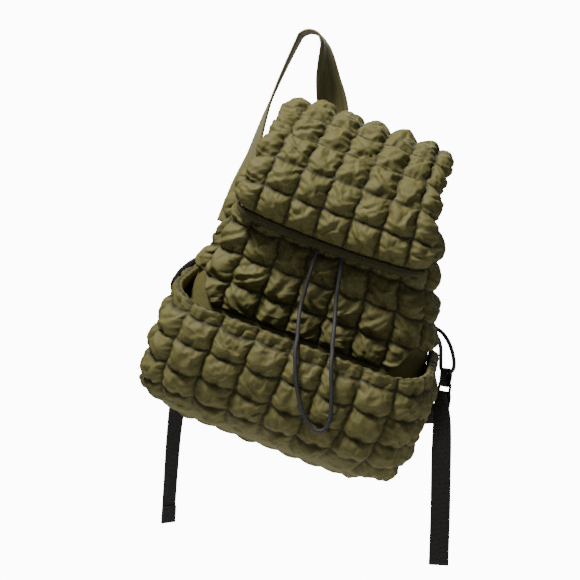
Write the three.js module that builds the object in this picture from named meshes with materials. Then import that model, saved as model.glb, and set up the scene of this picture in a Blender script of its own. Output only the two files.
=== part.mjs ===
// A quilted puffer backpack, hanging from a wall peg by its left shoulder strap.
// Sizes are in millimetres. Z is up, the front faces -Y, and the origin is where the strap rests on the
// peg.
// The bag itself is described upright, with its base at z = 0, and is then leaned over as it hangs.
import * as THREE from "three";

// How the bag hangs
const LEAN_DEG = 20;
const PEG_RADIUS = 15;
const PEG_LEFT_OF_MIDDLE = 125;
const PEG_ABOVE_BASE = 498;
const PEG_BEHIND_MIDDLE = 65;

// Main compartment
const BODY_HEIGHT = 349;
const BODY_HALF_WIDTH = 156;
const BODY_FRONT = 60;
const BODY_BACK = 70;
const BODY_CORNER = 50;
const BACK_CORNER = 16;
const BODY_WALL = 4;
const BASE_WALL = 6;

// Quilting
const BODY_PUFF = 11;
const BODY_COLUMNS = 13;
const BODY_ROWS = 5;
const BACK_PANEL_STEPS = 4;
const POUCH_PUFF = 10;
const POUCH_COLUMNS = 14;
const LID_PUFF = 10;
const LID_COLUMN_WIDTH = 38.5;
const LID_MIDDLE_COLUMNS = 5;

// Front pouch
const POUCH_FRONT_RIM = 140;
const POUCH_SIDE_RIM = 174;
const POUCH_DEPTH = 62;
const POUCH_EASE = 2.2;
const POUCH_SIDE_EASE = 4;
const POUCH_CORNER = 62;
const POUCH_WALL = 5;
const POUCH_END_BEFORE_BACK = 24;
const POUCH_FULL_ROW = 24;

// Lid
const LID_FRONT = 86;
const LID_BACK = 74.3;
const LID_TOP = 396;
const LID_WALL = 4;
const LID_SIDE_RADIUS = 26;
const LID_SIDE_ARC = 36;
const LID_DIP = 8;
const LID_TAPER = 0.08;
const PIPING_DIAMETER = 5;
const PIPING_REACH = 0.68;

// Shoulder straps and their fittings
const STRAP_WIDTH = 40;
const STRAP_THICKNESS = 4;
const STRAP_FROM_MIDDLE = 61.5;
const STRAP_SEWN_AT = 318;
const WEBBING_WIDTH = 25;
const WEBBING_THICKNESS = 1.6;
const LOOP_BAND_WIDTH = 17;
const SLIDER_BAR = 2.4;
const SLIDER_WINDOW = 4;
const SLIDER_DEPTH = 3.2;
const SLIDER_BELOW_LOOP = 22;
const TAIL_LEFT = 272;
const TAIL_RIGHT = 218;

// Cords
const CORD_DIAMETER = 5;
const LOOP_CORD_DIAMETER = 5;

// Gap between pieces that touch
const CLEARANCE = 0.3;

// Shares of the main compartment's height, half width, front depth, back depth and corner radius, from its
// base to its mouth.
// lean moves the section sideways, by a share of the half width.
const bodySections = [
  { up: 0.0, half: 0.77, front: 0.73, back: 0.8, corner: 0.76, lean: 0.0 },
  { up: 0.023, half: 0.9, front: 0.93, back: 0.93, corner: 0.92, lean: 0.01 },
  { up: 0.086, half: 0.98, front: 1.0, back: 1.0, corner: 1.0, lean: 0.015 },
  { up: 0.26, half: 1.0, front: 1.0, back: 1.0, corner: 1.0, lean: 0.04 },
  { up: 0.4, half: 0.985, front: 1.0, back: 1.0, corner: 1.0, lean: 0.045 },
  { up: 0.5, half: 0.96, front: 1.0, back: 1.0, corner: 1.0, lean: 0.035 },
  { up: 0.6, half: 0.905, front: 0.98, back: 1.0, corner: 0.96, lean: 0.035 },
  { up: 0.71, half: 0.85, front: 0.95, back: 1.0, corner: 0.92, lean: 0.0 },
  { up: 0.83, half: 0.81, front: 0.87, back: 1.0, corner: 0.88, lean: -0.025 },
  { up: 0.91, half: 0.72, front: 0.73, back: 0.97, corner: 0.8, lean: -0.03 },
  { up: 0.957, half: 0.53, front: 0.5, back: 0.85, corner: 0.68, lean: -0.03 },
  { up: 1.0, half: 0.58, front: 0.6, back: 0.88, corner: 0.72, lean: -0.03 },
];
const plainRows = [0.0, 0.023, 0.086, 0.26];
const quiltFrom = 0.4;
const quiltTo = 0.91;
const mouthRows = [0.957, 1.0];
const liningRows = [1.0, 0.957, 0.91, 0.83, 0.71, 0.6, 0.4, 0.26, 0.086];

// How far the pouch stands off the main compartment, as shares of its depth and of its side ease.
const pouchSections = [
  { up: 0.0, front: 0.05, side: 0.06 },
  { up: 0.045, front: 0.42, side: 0.3 },
  { up: 0.14, front: 0.74, side: 0.6 },
  { up: 0.31, front: 0.93, side: 1.0 },
  { up: 0.55, front: 1.0, side: 1.0 },
  { up: 0.76, front: 0.9, side: 0.9 },
  { up: 1.0, front: 0.78, side: 0.2 },
];
// The pouch's seams, as shares of its height: five rows of quilting and the gathered hem.
const pouchSeams = [0.0, 0.07, 0.25, 0.45, 0.68, 0.9, 1.0];

// The lid's line seen from the side, from its front edge over the top and down the back,
// as shares of its reach forwards (negative is behind the middle) and of its height.
const lidProfile = [
  { forward: 0.93, high: 0.662 },
  { forward: 1.0, high: 0.735 },
  { forward: 0.92, high: 0.811 },
  { forward: 0.72, high: 0.879 },
  { forward: 0.42, high: 0.929 },
  { forward: 0.09, high: 0.972 },
  { forward: -0.26, high: 0.997 },
  { forward: -0.6, high: 1.0 },
];
const lidBack = [
  { back: 0.93, high: 0.973 },
  { back: 1.0, high: 0.905 },
  { back: 1.0, high: 0.813 },
];
const LID_ROWS = 8;
const LID_PLAIN_ROWS = 2;

const quiltSteps = [0, 0.3, 0.7];
const X = new THREE.Vector3(1, 0, 0);
const Y = new THREE.Vector3(0, 1, 0);
const Z = new THREE.Vector3(0, 0, 1);

// The bag's own frame within the hanging frame.
const bag = new THREE.Group();
bag.rotation.y = THREE.MathUtils.degToRad(LEAN_DEG);
bag.position
  .set(PEG_LEFT_OF_MIDDLE, -PEG_BEHIND_MIDDLE, -PEG_ABOVE_BASE)
  .applyEuler(bag.rotation);
bag.updateMatrixWorld(true);
const hung = (x, y, z) => new THREE.Vector3(x, y, z).applyMatrix4(bag.matrixWorld);
const bagAcross = hung(1, 0, 0).sub(hung(0, 0, 0));

const clothOlive = new THREE.MeshStandardMaterial({ color: 0x6b6a3f, roughness: 0.6, metalness: 0 });
const strapOlive = new THREE.MeshStandardMaterial({ color: 0x77764c, roughness: 0.65, metalness: 0 });
const bindingOlive = new THREE.MeshStandardMaterial({ color: 0x4a4a2a, roughness: 0.8, metalness: 0 });
const cordGrey = new THREE.MeshStandardMaterial({ color: 0x33333a, roughness: 0.7, metalness: 0 });
const webbingBlack = new THREE.MeshStandardMaterial({ color: 0x17171a, roughness: 0.75, metalness: 0 });
const fittingBlack = new THREE.MeshStandardMaterial({ color: 0x101012, roughness: 0.35, metalness: 0.2 });

// One column of a table at a place between its rows, on a smooth curve through them.
function between(table, column, up) {
  const last = table.length - 1;
  let i = 0;
  while (i < last - 1 && up > table[i + 1].up) i += 1;
  const slope = (k) => {
    const before = table[Math.max(k - 1, 0)];
    const after = table[Math.min(k + 1, last)];
    return (after[column] - before[column]) / (after.up - before.up);
  };
  const [from, to] = [table[i], table[i + 1]];
  const step = to.up - from.up;
  const t = THREE.MathUtils.clamp((up - from.up) / step, 0, 1);
  const [t2, t3] = [t * t, t * t * t];
  return (
    (2 * t3 - 3 * t2 + 1) * from[column] +
    (t3 - 2 * t2 + t) * step * slope(i) +
    (3 * t2 - 2 * t3) * to[column] +
    (t3 - t2) * step * slope(i + 1)
  );
}

// The height of a puff at a share of the way across it, from 0 at a seam to 1 in the middle.
function puff(share) {
  return 1 - Math.abs(2 * share - 1) ** 2.6;
}

// Places across cells of quilting: each has its share of the whole and the height of its puff.
// A narrow cell rises less: fullSpan is the share that a cell needs to rise all the way.
function quiltStations(seams, fullSpan = 0) {
  const stations = [];
  seams.slice(1).forEach((to, i) => {
    const from = seams[i];
    const rise = fullSpan > 0 ? Math.min(1, (to - from) / fullSpan) : 1;
    quiltSteps.forEach((step) => stations.push({ at: from + (to - from) * step, puff: rise * puff(step) }));
  });
  stations.push({ at: seams.at(-1), puff: 0 });
  return stations;
}

const evenSeams = (count, from = 0, to = 1) =>
  Array.from({ length: count + 1 }, (_, i) => from + ((to - from) * i) / count);

// How much of a place round the bag is at its side: 0 across the front, 1 at the back seams.
const sideShare = (s) => THREE.MathUtils.smoothstep(Math.abs(2 * s - 1), 0.35, 0.95);
const pouchRim = (s) => POUCH_FRONT_RIM + (POUCH_SIDE_RIM - POUCH_FRONT_RIM) * sideShare(s);

// Triangles that close the end of a thin wall, whose loop runs out along its outer face and back along its
// inner one. along holds how far along each point of the loop is, and outer is the number of outer points.
function wallEnd(along, outer) {
  const triangles = [];
  let [i, j] = [0, along.length - 1];
  while (i < outer - 1 || j > outer) {
    const outerNext = i < outer - 1 && (j === outer || along[i + 1] <= along[j - 1]);
    triangles.push(outerNext ? [i, i + 1, j] : [i, j - 1, j]);
    if (outerNext) i += 1;
    else j -= 1;
  }
  return triangles;
}

// A section of the main compartment, grown outwards by a margin.
function bodySection(up, margin = 0) {
  const half = BODY_HALF_WIDTH * between(bodySections, "half", up);
  const corner = BODY_CORNER * between(bodySections, "corner", up);
  return {
    half: half + margin,
    front: BODY_FRONT * between(bodySections, "front", up) + margin,
    back: BODY_BACK * between(bodySections, "back", up) + margin,
    corner: corner + margin,
    backCorner: BACK_CORNER + margin,
    middle: BODY_HALF_WIDTH * between(bodySections, "lean", up),
  };
}

// The outline from the left back corner, round the front, to the right back corner.
function bodyOutline(section) {
  const { half, front, back, corner, backCorner, middle } = section;
  const [left, right] = [middle - half, middle + half];
  return new THREE.Path()
    .moveTo(left + backCorner, back)
    .absarc(left + backCorner, back - backCorner, backCorner, Math.PI / 2, Math.PI)
    .absarc(left + corner, corner - front, corner, Math.PI, 1.5 * Math.PI)
    .absarc(right - corner, corner - front, corner, 1.5 * Math.PI, 2 * Math.PI)
    .absarc(right - backCorner, back - backCorner, backCorner, 0, Math.PI / 2);
}

// A closed ring of points round the main compartment: the quilted outline, then the flat back panel.
function bodyRing(up, margin, columns) {
  const outline = bodyOutline(bodySection(up, margin));
  const points = columns.map((column) => outline.getPoint(column.at));
  const [first, last] = [points[0], points.at(-1)];
  for (let i = 1; i < BACK_PANEL_STEPS; i += 1) {
    points.push(last.clone().lerp(first, i / BACK_PANEL_STEPS));
  }
  const z = up * BODY_HEIGHT;
  return points.map((p) => new THREE.Vector3(p.x, p.y, z));
}

// Moves each point of a grid along the grid's normal there, by its own amount.
function swell(grid, amounts, wraps) {
  const rows = grid.length;
  return grid.map((row, i) =>
    row.map((point, j) => {
      const before = wraps ? row.at(j - 1) : row[Math.max(j - 1, 0)];
      const after = wraps ? row[(j + 1) % row.length] : row[Math.min(j + 1, row.length - 1)];
      const along = after.clone().sub(before);
      const across = grid[Math.min(i + 1, rows - 1)][j].clone().sub(grid[Math.max(i - 1, 0)][j]);
      return point.clone().addScaledVector(along.cross(across).normalize(), amounts[i][j]);
    }),
  );
}

// Triangles that close a loop, wound as the loop is. flat gives the loop's points in its own plane.
function capTriangles(flat) {
  const wound = THREE.ShapeUtils.isClockWise(flat);
  return THREE.ShapeUtils.triangulateShape(flat, []).map(([a, b, c]) =>
    THREE.ShapeUtils.isClockWise([flat[a], flat[b], flat[c]]) === wound ? [a, b, c] : [a, c, b],
  );
}

// One closed body through a row of loops of equal length. The triangles of endOf close the first loop and
// the last, and where there is none the last loop joins the first.
function bodyThroughLoops(loops, endOf) {
  const size = loops[0].length;
  const positions = loops.flat().flatMap((p) => [p.x, p.y, p.z]);
  const triangles = [];
  const spans = endOf ? loops.length - 1 : loops.length;
  for (let i = 0; i < spans; i += 1) {
    const [here, next] = [i * size, ((i + 1) % loops.length) * size];
    for (let j = 0; j < size; j += 1) {
      const k = (j + 1) % size;
      triangles.push([here + j, here + k, next + k], [here + j, next + k, next + j]);
    }
  }
  if (endOf) {
    const end = (loops.length - 1) * size;
    endOf(0).forEach(([a, b, c]) => triangles.push([a, c, b]));
    endOf(loops.length - 1).forEach(([a, b, c]) => triangles.push([end + a, end + b, end + c]));
  }
  const corner = (i) => new THREE.Vector3().fromArray(positions, 3 * i);
  const volume = triangles.reduce((sum, [a, b, c]) => sum + corner(a).dot(corner(b).cross(corner(c))), 0);
  const index = triangles.flatMap(([a, b, c]) => (volume > 0 ? [a, b, c] : [a, c, b]));
  const geometry = new THREE.BufferGeometry();
  geometry.setAttribute("position", new THREE.Float32BufferAttribute(positions, 3));
  geometry.setIndex(index);
  geometry.computeVertexNormals();
  return geometry;
}

// The main compartment: a hollow quilted bag, smooth where the pouch covers it, with a gathered mouth.
function bodyShell() {
  const columns = quiltStations(evenSeams(BODY_COLUMNS));
  const quilted = quiltStations(evenSeams(BODY_ROWS, quiltFrom, quiltTo));
  const rows = [
    ...plainRows.map((at) => ({ at, puff: 0 })),
    ...quilted,
    ...mouthRows.map((at) => ({ at, puff: 0 })),
  ];
  const base = rows.map((row) => bodyRing(row.at, 0, columns));
  const clearOfPouch = (s, up) => {
    const atFront = 1 - THREE.MathUtils.smoothstep(Math.abs(2 * s - 1), 0.3, 0.55);
    const freeFrom = THREE.MathUtils.lerp(POUCH_SIDE_RIM, POUCH_FRONT_RIM - 0.6 * POUCH_DEPTH, atFront);
    return THREE.MathUtils.smoothstep(up * BODY_HEIGHT, freeFrom, freeFrom + BODY_PUFF);
  };
  const amounts = rows.map((row) =>
    base[0].map((_, j) => {
      const column = columns[j];
      return column ? BODY_PUFF * row.puff * column.puff * clearOfPouch(column.at, row.at) : 0;
    }),
  );
  const outer = swell(base, amounts, true);
  const lining = liningRows.map((up) => bodyRing(up, -BODY_WALL, columns));
  const floor = bodyRing(BASE_WALL / BODY_HEIGHT, -BODY_WALL - BASE_WALL, columns);
  const loops = [...outer, ...lining, floor];
  return bodyThroughLoops(loops, (i) => capTriangles(loops[i].map((p) => new THREE.Vector2(p.x, p.y))));
}

// A point of the pouch's wall at a share s round it and a height z. margin is its distance outside the
// main compartment where the two are sewn together.
function pouchPoint(s, z, margin) {
  const up = z / BODY_HEIGHT;
  const high = z / POUCH_SIDE_RIM;
  const section = bodySection(up, margin);
  const sewnIn = THREE.MathUtils.smoothstep(Math.min(s, 1 - s), 0, 0.07);
  const ease = POUCH_EASE + POUCH_SIDE_EASE * between(pouchSections, "side", high);
  const half = section.half + ease * sewnIn;
  const front = section.front + POUCH_EASE + POUCH_DEPTH * between(pouchSections, "front", high);
  const corner = THREE.MathUtils.lerp(section.corner, POUCH_CORNER, Math.min(1, 3 * high));
  const end = section.back - margin - POUCH_END_BEFORE_BACK;
  const outline = new THREE.Path()
    .moveTo(section.middle - half, end)
    .lineTo(section.middle - half, corner - front)
    .absarc(section.middle - half + corner, corner - front, corner, Math.PI, 1.5 * Math.PI)
    .absarc(section.middle + half - corner, corner - front, corner, 1.5 * Math.PI, 2 * Math.PI)
    .lineTo(section.middle + half, end);
  const p = outline.getPoint(s);
  return new THREE.Vector3(p.x, p.y, z);
}

// The front pouch: a quilted wall sewn to the main compartment at its sides and base, and open above.
function frontPouch() {
  const columns = quiltStations(evenSeams(POUCH_COLUMNS));
  const rows = quiltStations(pouchSeams, POUCH_FULL_ROW / POUCH_FRONT_RIM);
  const base = columns.map((c) =>
    rows.map((r) => pouchPoint(c.at, r.at * pouchRim(c.at), CLEARANCE + POUCH_WALL)),
  );
  const amounts = columns.map((c) =>
    rows.map((r) => (r.at < pouchSeams[1] ? 0 : -POUCH_PUFF * c.puff * r.puff)),
  );
  const outer = swell(base, amounts, false);
  const loops = columns.map((c, i) => {
    const rim = pouchRim(c.at);
    const heights = [rim, 0.88 * rim, 0.75 * rim, ...plainRows.map((up) => up * BODY_HEIGHT).reverse()];
    return [...outer[i], ...heights.map((z) => pouchPoint(c.at, z, CLEARANCE))];
  });
  return bodyThroughLoops(loops, (i) => wallEnd(loops[i].map((p) => p.z), rows.length));
}

// The lid's line from the side, as a curve in x = 0.
const lidLine = new THREE.CatmullRomCurve3(
  [
    ...lidProfile.map((p) => new THREE.Vector3(0, -LID_FRONT * p.forward, LID_TOP * p.high)),
    ...lidBack.map((p) => new THREE.Vector3(0, LID_BACK * p.back, LID_TOP * p.high)),
  ],
  false,
  "centripetal",
);
const LID_LENGTH = lidLine.getLength();
const LID_HALF_FLAT = (LID_COLUMN_WIDTH * LID_MIDDLE_COLUMNS) / 2;

// A point of the lid: across runs from -1 to 1 between its side edges, along from 0 at its front edge to 1
// where it is sewn to the back, and lift is the distance above its outer face.
function lidPoint(across, along, lift) {
  const flat = LID_HALF_FLAT * (1 - LID_TAPER * Math.min(1, 1.6 * along));
  const onBack = THREE.MathUtils.smoothstep(along, 0.68, 0.92);
  const reach = Math.abs(across) * (LID_HALF_FLAT + LID_SIDE_ARC) - LID_HALF_FLAT;
  const beyond = Math.max(0, reach) * (1 - 0.6 * onBack);
  const bend = Math.max(1 - onBack, 1e-3) / LID_SIDE_RADIUS;
  const angle = beyond * bend;
  const sideways = Math.min(1, 1 + reach / LID_HALF_FLAT) * flat + Math.sin(angle) * (1 / bend + lift);
  const rise = lift * Math.cos(angle) - (1 - Math.cos(angle)) / bend;
  const shorter = LID_DIP * (across * across - 0.3) * (1 - along) ** 6;
  const place = along * LID_LENGTH + shorter;
  const p = lidLine.getPointAt(THREE.MathUtils.clamp(place / LID_LENGTH, 0, 1));
  const tangent = lidLine.getTangentAt(THREE.MathUtils.clamp(place / LID_LENGTH, 0, 1));
  const out = new THREE.Vector3().crossVectors(tangent, X).negate();
  p.addScaledVector(tangent, Math.min(0, place));
  return p.addScaledVector(X, Math.sign(across) * sideways).addScaledVector(out, rise);
}

// Seams across the lid: a narrow column down each side and the wider ones between.
const lidColumnSeams = (() => {
  const whole = 2 * (LID_HALF_FLAT + LID_SIDE_ARC);
  const middle = evenSeams(LID_MIDDLE_COLUMNS, -LID_HALF_FLAT, LID_HALF_FLAT);
  return [-whole / 2, ...middle, whole / 2].map((u) => (2 * u) / whole);
})();

function lid() {
  const columns = quiltStations(lidColumnSeams);
  const rows = quiltStations(evenSeams(LID_ROWS));
  const plainFrom = 1 - LID_PLAIN_ROWS / LID_ROWS;
  const height = (c, r) => (r.at > plainFrom ? 0 : LID_PUFF * c.puff * r.puff);
  const underRows = rows.map((r) => r.at).reverse();
  const loops = columns.map((c) => [
    ...rows.map((r) => lidPoint(c.at, r.at, height(c, r))),
    ...underRows.map((at) => lidPoint(c.at, at, -LID_WALL)),
  ]);
  const alongEdge = [...rows.map((r) => r.at), ...underRows];
  return bodyThroughLoops(loops, () => wallEnd(alongEdge, rows.length));
}

// An eight-sided ring of points about a place, in the plane of two directions.
function ring(at, out, across, radius) {
  return Array.from({ length: 8 }, (_, i) => {
    const angle = (Math.PI * i) / 4;
    return at
      .clone()
      .addScaledVector(out, radius * Math.cos(angle))
      .addScaledVector(across, radius * Math.sin(angle));
  });
}

// A round bar along points, with its ends closed.
function roundBar(points, diameter, steps) {
  const section = new THREE.Shape(ring(new THREE.Vector3(), X, Y, diameter / 2));
  const extrudePath = new THREE.CatmullRomCurve3(points, false, "centripetal");
  return new THREE.ExtrudeGeometry(section, { steps, bevelEnabled: false, extrudePath });
}

// The bound edge of the lid, from one side of its back round the front to the other. It has a ring of
// points beside each of the lid's own edge points.
function lidPiping() {
  const off = CLEARANCE + PIPING_DIAMETER / 2;
  const edgeMiddle = (across, along) => lidPoint(across, along, -LID_WALL / 2);
  const outwards = (across, along, inAcross, inAlong) =>
    edgeMiddle(across, along).sub(edgeMiddle(inAcross, inAlong)).normalize();
  const rows = quiltStations(evenSeams(LID_ROWS))
    .map((r) => r.at)
    .filter((at) => at > 0 && at < PIPING_REACH);
  const columns = quiltStations(lidColumnSeams).map((c) => c.at).filter((at) => Math.abs(at) < 0.99);
  const place = (across, along, towards) => ({
    at: edgeMiddle(across, along).addScaledVector(towards, off),
    out: lidPoint(across, along, 1).sub(lidPoint(across, along, 0)),
  });
  const side = (across) =>
    rows.map((along) => place(across, along, outwards(across, along, 0.98 * across, along)));
  const corner = (across) =>
    place(across, 0, outwards(across, 0, 0.98 * across, 0).add(outwards(across, 0, across, 0.01)));
  const front = columns.map((across) => place(across, 0, outwards(across, 0, across, 0.01)));
  const places = [...side(-1).reverse(), corner(-1), ...front, corner(1), ...side(1)];
  const loops = places.map(({ at, out }, i) => {
    const before = places[Math.max(i - 1, 0)].at;
    const after = places[Math.min(i + 1, places.length - 1)].at;
    const across = new THREE.Vector3().crossVectors(after.clone().sub(before), out).normalize();
    return ring(at, out, across, PIPING_DIAMETER / 2);
  });
  const section = ring(new THREE.Vector3(), X, Y, 1).map((p) => new THREE.Vector2(p.x, p.y));
  return bodyThroughLoops(loops, () => capTriangles(section));
}

// A flat band along stations, which may join up with itself. Each station has its place, the direction of
// the band's width there, and the share of the full width that it has.
function band(stations, width, thickness, steps, closed = false) {
  const route = new THREE.CatmullRomCurve3(stations.map((s) => s.at), closed, "centripetal");
  const spans = closed ? stations.length : stations.length - 1;
  const count = closed ? steps : steps + 1;
  const loops = Array.from({ length: count }, (_, i) => {
    const t = i / steps;
    const k = Math.min(Math.floor(t * spans), spans - 1);
    const [from, to] = [stations[k], stations[(k + 1) % stations.length]];
    const part = t * spans - k;
    const tangent = route.getTangent(t);
    const wide = from.wide.clone().lerp(to.wide, part);
    const share = THREE.MathUtils.lerp(from.share, to.share, part);
    wide.addScaledVector(tangent, -wide.dot(tangent)).setLength((width / 2) * share);
    const thick = new THREE.Vector3().crossVectors(wide, tangent).setLength(thickness / 2);
    const at = route.getPoint(t);
    return [
      at.clone().add(wide).add(thick),
      at.clone().sub(wide).add(thick),
      at.clone().sub(wide).sub(thick),
      at.clone().add(wide).sub(thick),
    ];
  });
  const square = [
    [1, 1],
    [-1, 1],
    [-1, -1],
    [1, -1],
  ].map(([x, y]) => new THREE.Vector2(x * width, y * thickness));
  return bodyThroughLoops(loops, closed ? null : () => capTriangles(square));
}

const station = (at, wide, share = 1) => ({ at, wide: wide.clone().normalize(), share });

// A direction part of the way from one to another.
const turned = (from, to, share) => from.clone().lerp(to, share).normalize();

// Stations along a run that lies flat against the back panel.
function flatRun(places) {
  return places.map((at, i) => {
    const before = places[Math.max(i - 1, 0)];
    const after = places[Math.min(i + 1, places.length - 1)];
    return station(at, new THREE.Vector3().crossVectors(after.clone().sub(before), Y));
  });
}

const lidRear = Math.max(...lidLine.getPoints(80).map((p) => p.y));
const STRAP_BACK = lidRear + CLEARANCE + STRAP_THICKNESS / 2;
const behindBag = (x, gap, z) => hung(x * BODY_HALF_WIDTH, BODY_BACK + gap, z * BODY_HEIGHT);
const strapEnds = {
  left: behindBag(-0.91, 2 * STRAP_THICKNESS + 6, 0.665),
  right: behindBag(0.92, 2 * STRAP_THICKNESS + 6, 0.205),
};

// The left strap goes up behind the lid, turns edge on over the peg and comes down behind the bag's left
// side.
function strapLeft() {
  const pegCentre = new THREE.Vector3(0, 0, -PEG_RADIUS);
  const overPeg = PEG_RADIUS + STRAP_THICKNESS / 2 + CLEARANCE;
  const roundPeg = (degrees) => {
    const angle = THREE.MathUtils.degToRad(degrees);
    return new THREE.Vector3(Math.sin(angle), 0, Math.cos(angle)).multiplyScalar(overPeg).add(pegCentre);
  };
  const risesTo = (z) => hung(-STRAP_FROM_MIDDLE, STRAP_BACK, z);
  const down = strapEnds.left;
  const [right, left] = [roundPeg(78), roundPeg(-78)];
  const backwards = X.clone().negate();
  const stations = [
    station(risesTo(STRAP_SEWN_AT), bagAcross),
    station(risesTo((STRAP_SEWN_AT + LID_TOP) / 2), bagAcross),
    station(risesTo(LID_TOP + 8), bagAcross),
    station(right.clone().lerp(risesTo(LID_TOP + 8), 0.45), turned(bagAcross, Y, 0.5)),
    station(right, turned(X, Y, 0.92)),
    station(roundPeg(40), Y),
    station(roundPeg(0), Y),
    station(roundPeg(-40), Y),
    station(left, turned(backwards, Y, 0.97)),
    station(left.clone().lerp(behindBag(-0.91, 10, 0.93), 0.5), turned(backwards, Y, 0.78)),
    station(behindBag(-0.91, 13, 0.93), turned(backwards, Y, 0.5)),
    station(behindBag(-0.91, 15, 0.81), turned(backwards, Y, 0.15)),
    station(down, backwards),
  ];
  return band(stations, STRAP_WIDTH, STRAP_THICKNESS, 60);
}

// The right strap hangs slack behind the bag, in a bow from its top to the lower right corner.
function strapRight() {
  const bow = [
    { x: 0.25, gap: 16, z: 0.855 },
    { x: 0.0, gap: 15, z: 0.72 },
    { x: -0.18, gap: 14, z: 0.54 },
    { x: -0.13, gap: 14, z: 0.35 },
    { x: 0.16, gap: 14, z: 0.215 },
    { x: 0.54, gap: 14, z: 0.165 },
  ];
  const sewn = hung(STRAP_FROM_MIDDLE, STRAP_BACK, STRAP_SEWN_AT + 0.6 * STRAP_WIDTH);
  const places = [sewn, ...bow.map(({ x, gap, z }) => behindBag(x, gap, z)), strapEnds.right];
  return band(flatRun(places), STRAP_WIDTH, STRAP_THICKNESS, 42);
}

// Free cords. Their routes are points chosen by hand, in the bag's own frame.
const drawcordRoute = [
  [-14, -34, 334], [-14, -45, 325], [-13, -58, 312], [-12, -67, 296], [-11, -70.5, 278],
  [-10, -71, 262], [-9.6, -71, 250], [-7.5, -75, 225], [-6, -76, 197.5], [-3, -81, 174],
  [3, -99, 157], [7.5, -116, 148.5], [10, -127, 143.5], [12.5, -135, 134], [18, -140, 119],
  [25, -142, 103], [38, -142, 79], [53, -140.5, 60.5], [66, -139, 52.5], [76, -139, 55.5],
  [79, -140.5, 67], [73.5, -142, 92], [64, -142, 117], [58, -138, 132], [54.5, -129, 143],
  [51, -117, 149], [47, -102, 159], [41.5, -86, 175], [35, -77.5, 194], [31, -76, 211],
  [26, -75, 235], [20.5, -71, 252], [17.5, -71, 264], [15, -69.5, 280], [13.5, -66, 297],
  [13, -56, 312], [13, -44, 325], [13, -34, 334],
];
const leftLoopRoute = [
  [-145.6, 37.5, 189.5], [-151, 36.5, 187], [-159, 37, 181], [-167, 39, 172], [-174, 42.5, 162],
  [-178.5, 45.5, 153], [-180, 46.5, 146], [-178.6, 49.5, 140.4], [-176.2, 53.7, 137.9],
  [-173.8, 58.6, 138.6],
  [-171.5, 63.5, 139.5], [-169.2, 68.4, 140.4], [-166.9, 73.3, 141.4], [-164.8, 77.2, 145],
  [-163.4, 78.4, 151.5],
  [-161.6, 76.5, 159.5], [-158.8, 70.5, 168], [-155.5, 60, 175.5], [-151, 47, 180.5], [-146.2, 38.5, 182],
];
const rightLoopRoute = [
  [154.8, 37.5, 201.5], [161, 36, 200.5], [169.5, 33, 196.5], [179, 29.5, 188.5], [187, 26.5, 178],
  [192, 24.6, 168.5], [193.4, 25.2, 161.4], [191.7, 29.6, 157.2], [189.1, 34.7, 155.8],
  [186.5, 39.5, 154.8],
  [183.9, 44.3, 153.9], [181.2, 49.2, 153.3], [178, 53.4, 156], [175.5, 54.6, 162.4], [172.8, 53.4, 170],
  [169, 49.5, 180], [162.5, 42.5, 189.5], [155.2, 38, 192.5],
];

const routePoints = (route) => route.map(([x, y, z]) => new THREE.Vector3(x, y, z));
const cordSteps = { drawcord: 48, loop: 24 };
const cord = (route, diameter, steps) => roundBar(routePoints(route), diameter, steps);

// Each strap's fitting hangs from its cord loop. fold is the middle of the loop's lowest stretch, up points
// to it from the slider, and wide runs across the webbing.
const fittings = {
  left: {
    fold: hung(-171.5, 63.5, 139.5),
    up: new THREE.Vector3(0, 0, 1),
    wide: hung(-169.2, 68.4, 140.4).sub(hung(-173.8, 58.6, 138.6)),
  },
  right: {
    fold: hung(186.5, 39.5, 154.8),
    up: new THREE.Vector3(0.12, 0.07, 0.99),
    wide: hung(189.1, 34.7, 155.8).sub(hung(183.9, 44.3, 153.9)),
  },
};

// A fitting's own directions: square across the webbing, up towards the loop, and out of the webbing's
// face.
Object.values(fittings).forEach((fitting) => {
  fitting.up.normalize();
  fitting.face = new THREE.Vector3().crossVectors(fitting.wide, fitting.up).normalize();
  fitting.square = new THREE.Vector3().crossVectors(fitting.up, fitting.face);
  fitting.grip = fitting.fold.clone().addScaledVector(fitting.up, -SLIDER_BELOW_LOOP);
  // A station at a distance along the fitting from a place, and out of its face
  fitting.off = (place, along, out, share = 1) =>
    station(
      place.clone().addScaledVector(fitting.up, along).addScaledVector(fitting.face, out),
      fitting.square,
      share,
    );
  // Stations round a bar or cord, over its upper or lower side
  fitting.round = (place, radius, degrees, share = 1) =>
    degrees.map((angle) => {
      const turn = THREE.MathUtils.degToRad(angle);
      return fitting.off(place, radius * Math.cos(turn), radius * Math.sin(turn), share);
    });
});

const BAR_PITCH = SLIDER_BAR + SLIDER_WINDOW;
const roundBarRadius = Math.hypot(SLIDER_BAR, SLIDER_DEPTH) / 2 + WEBBING_THICKNESS / 2 + CLEARANCE;
const topBar = ({ grip, up }) => grip.clone().addScaledVector(up, BAR_PITCH);
const lowBar = ({ grip, up }) => grip.clone().addScaledVector(up, -BAR_PITCH);

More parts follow.
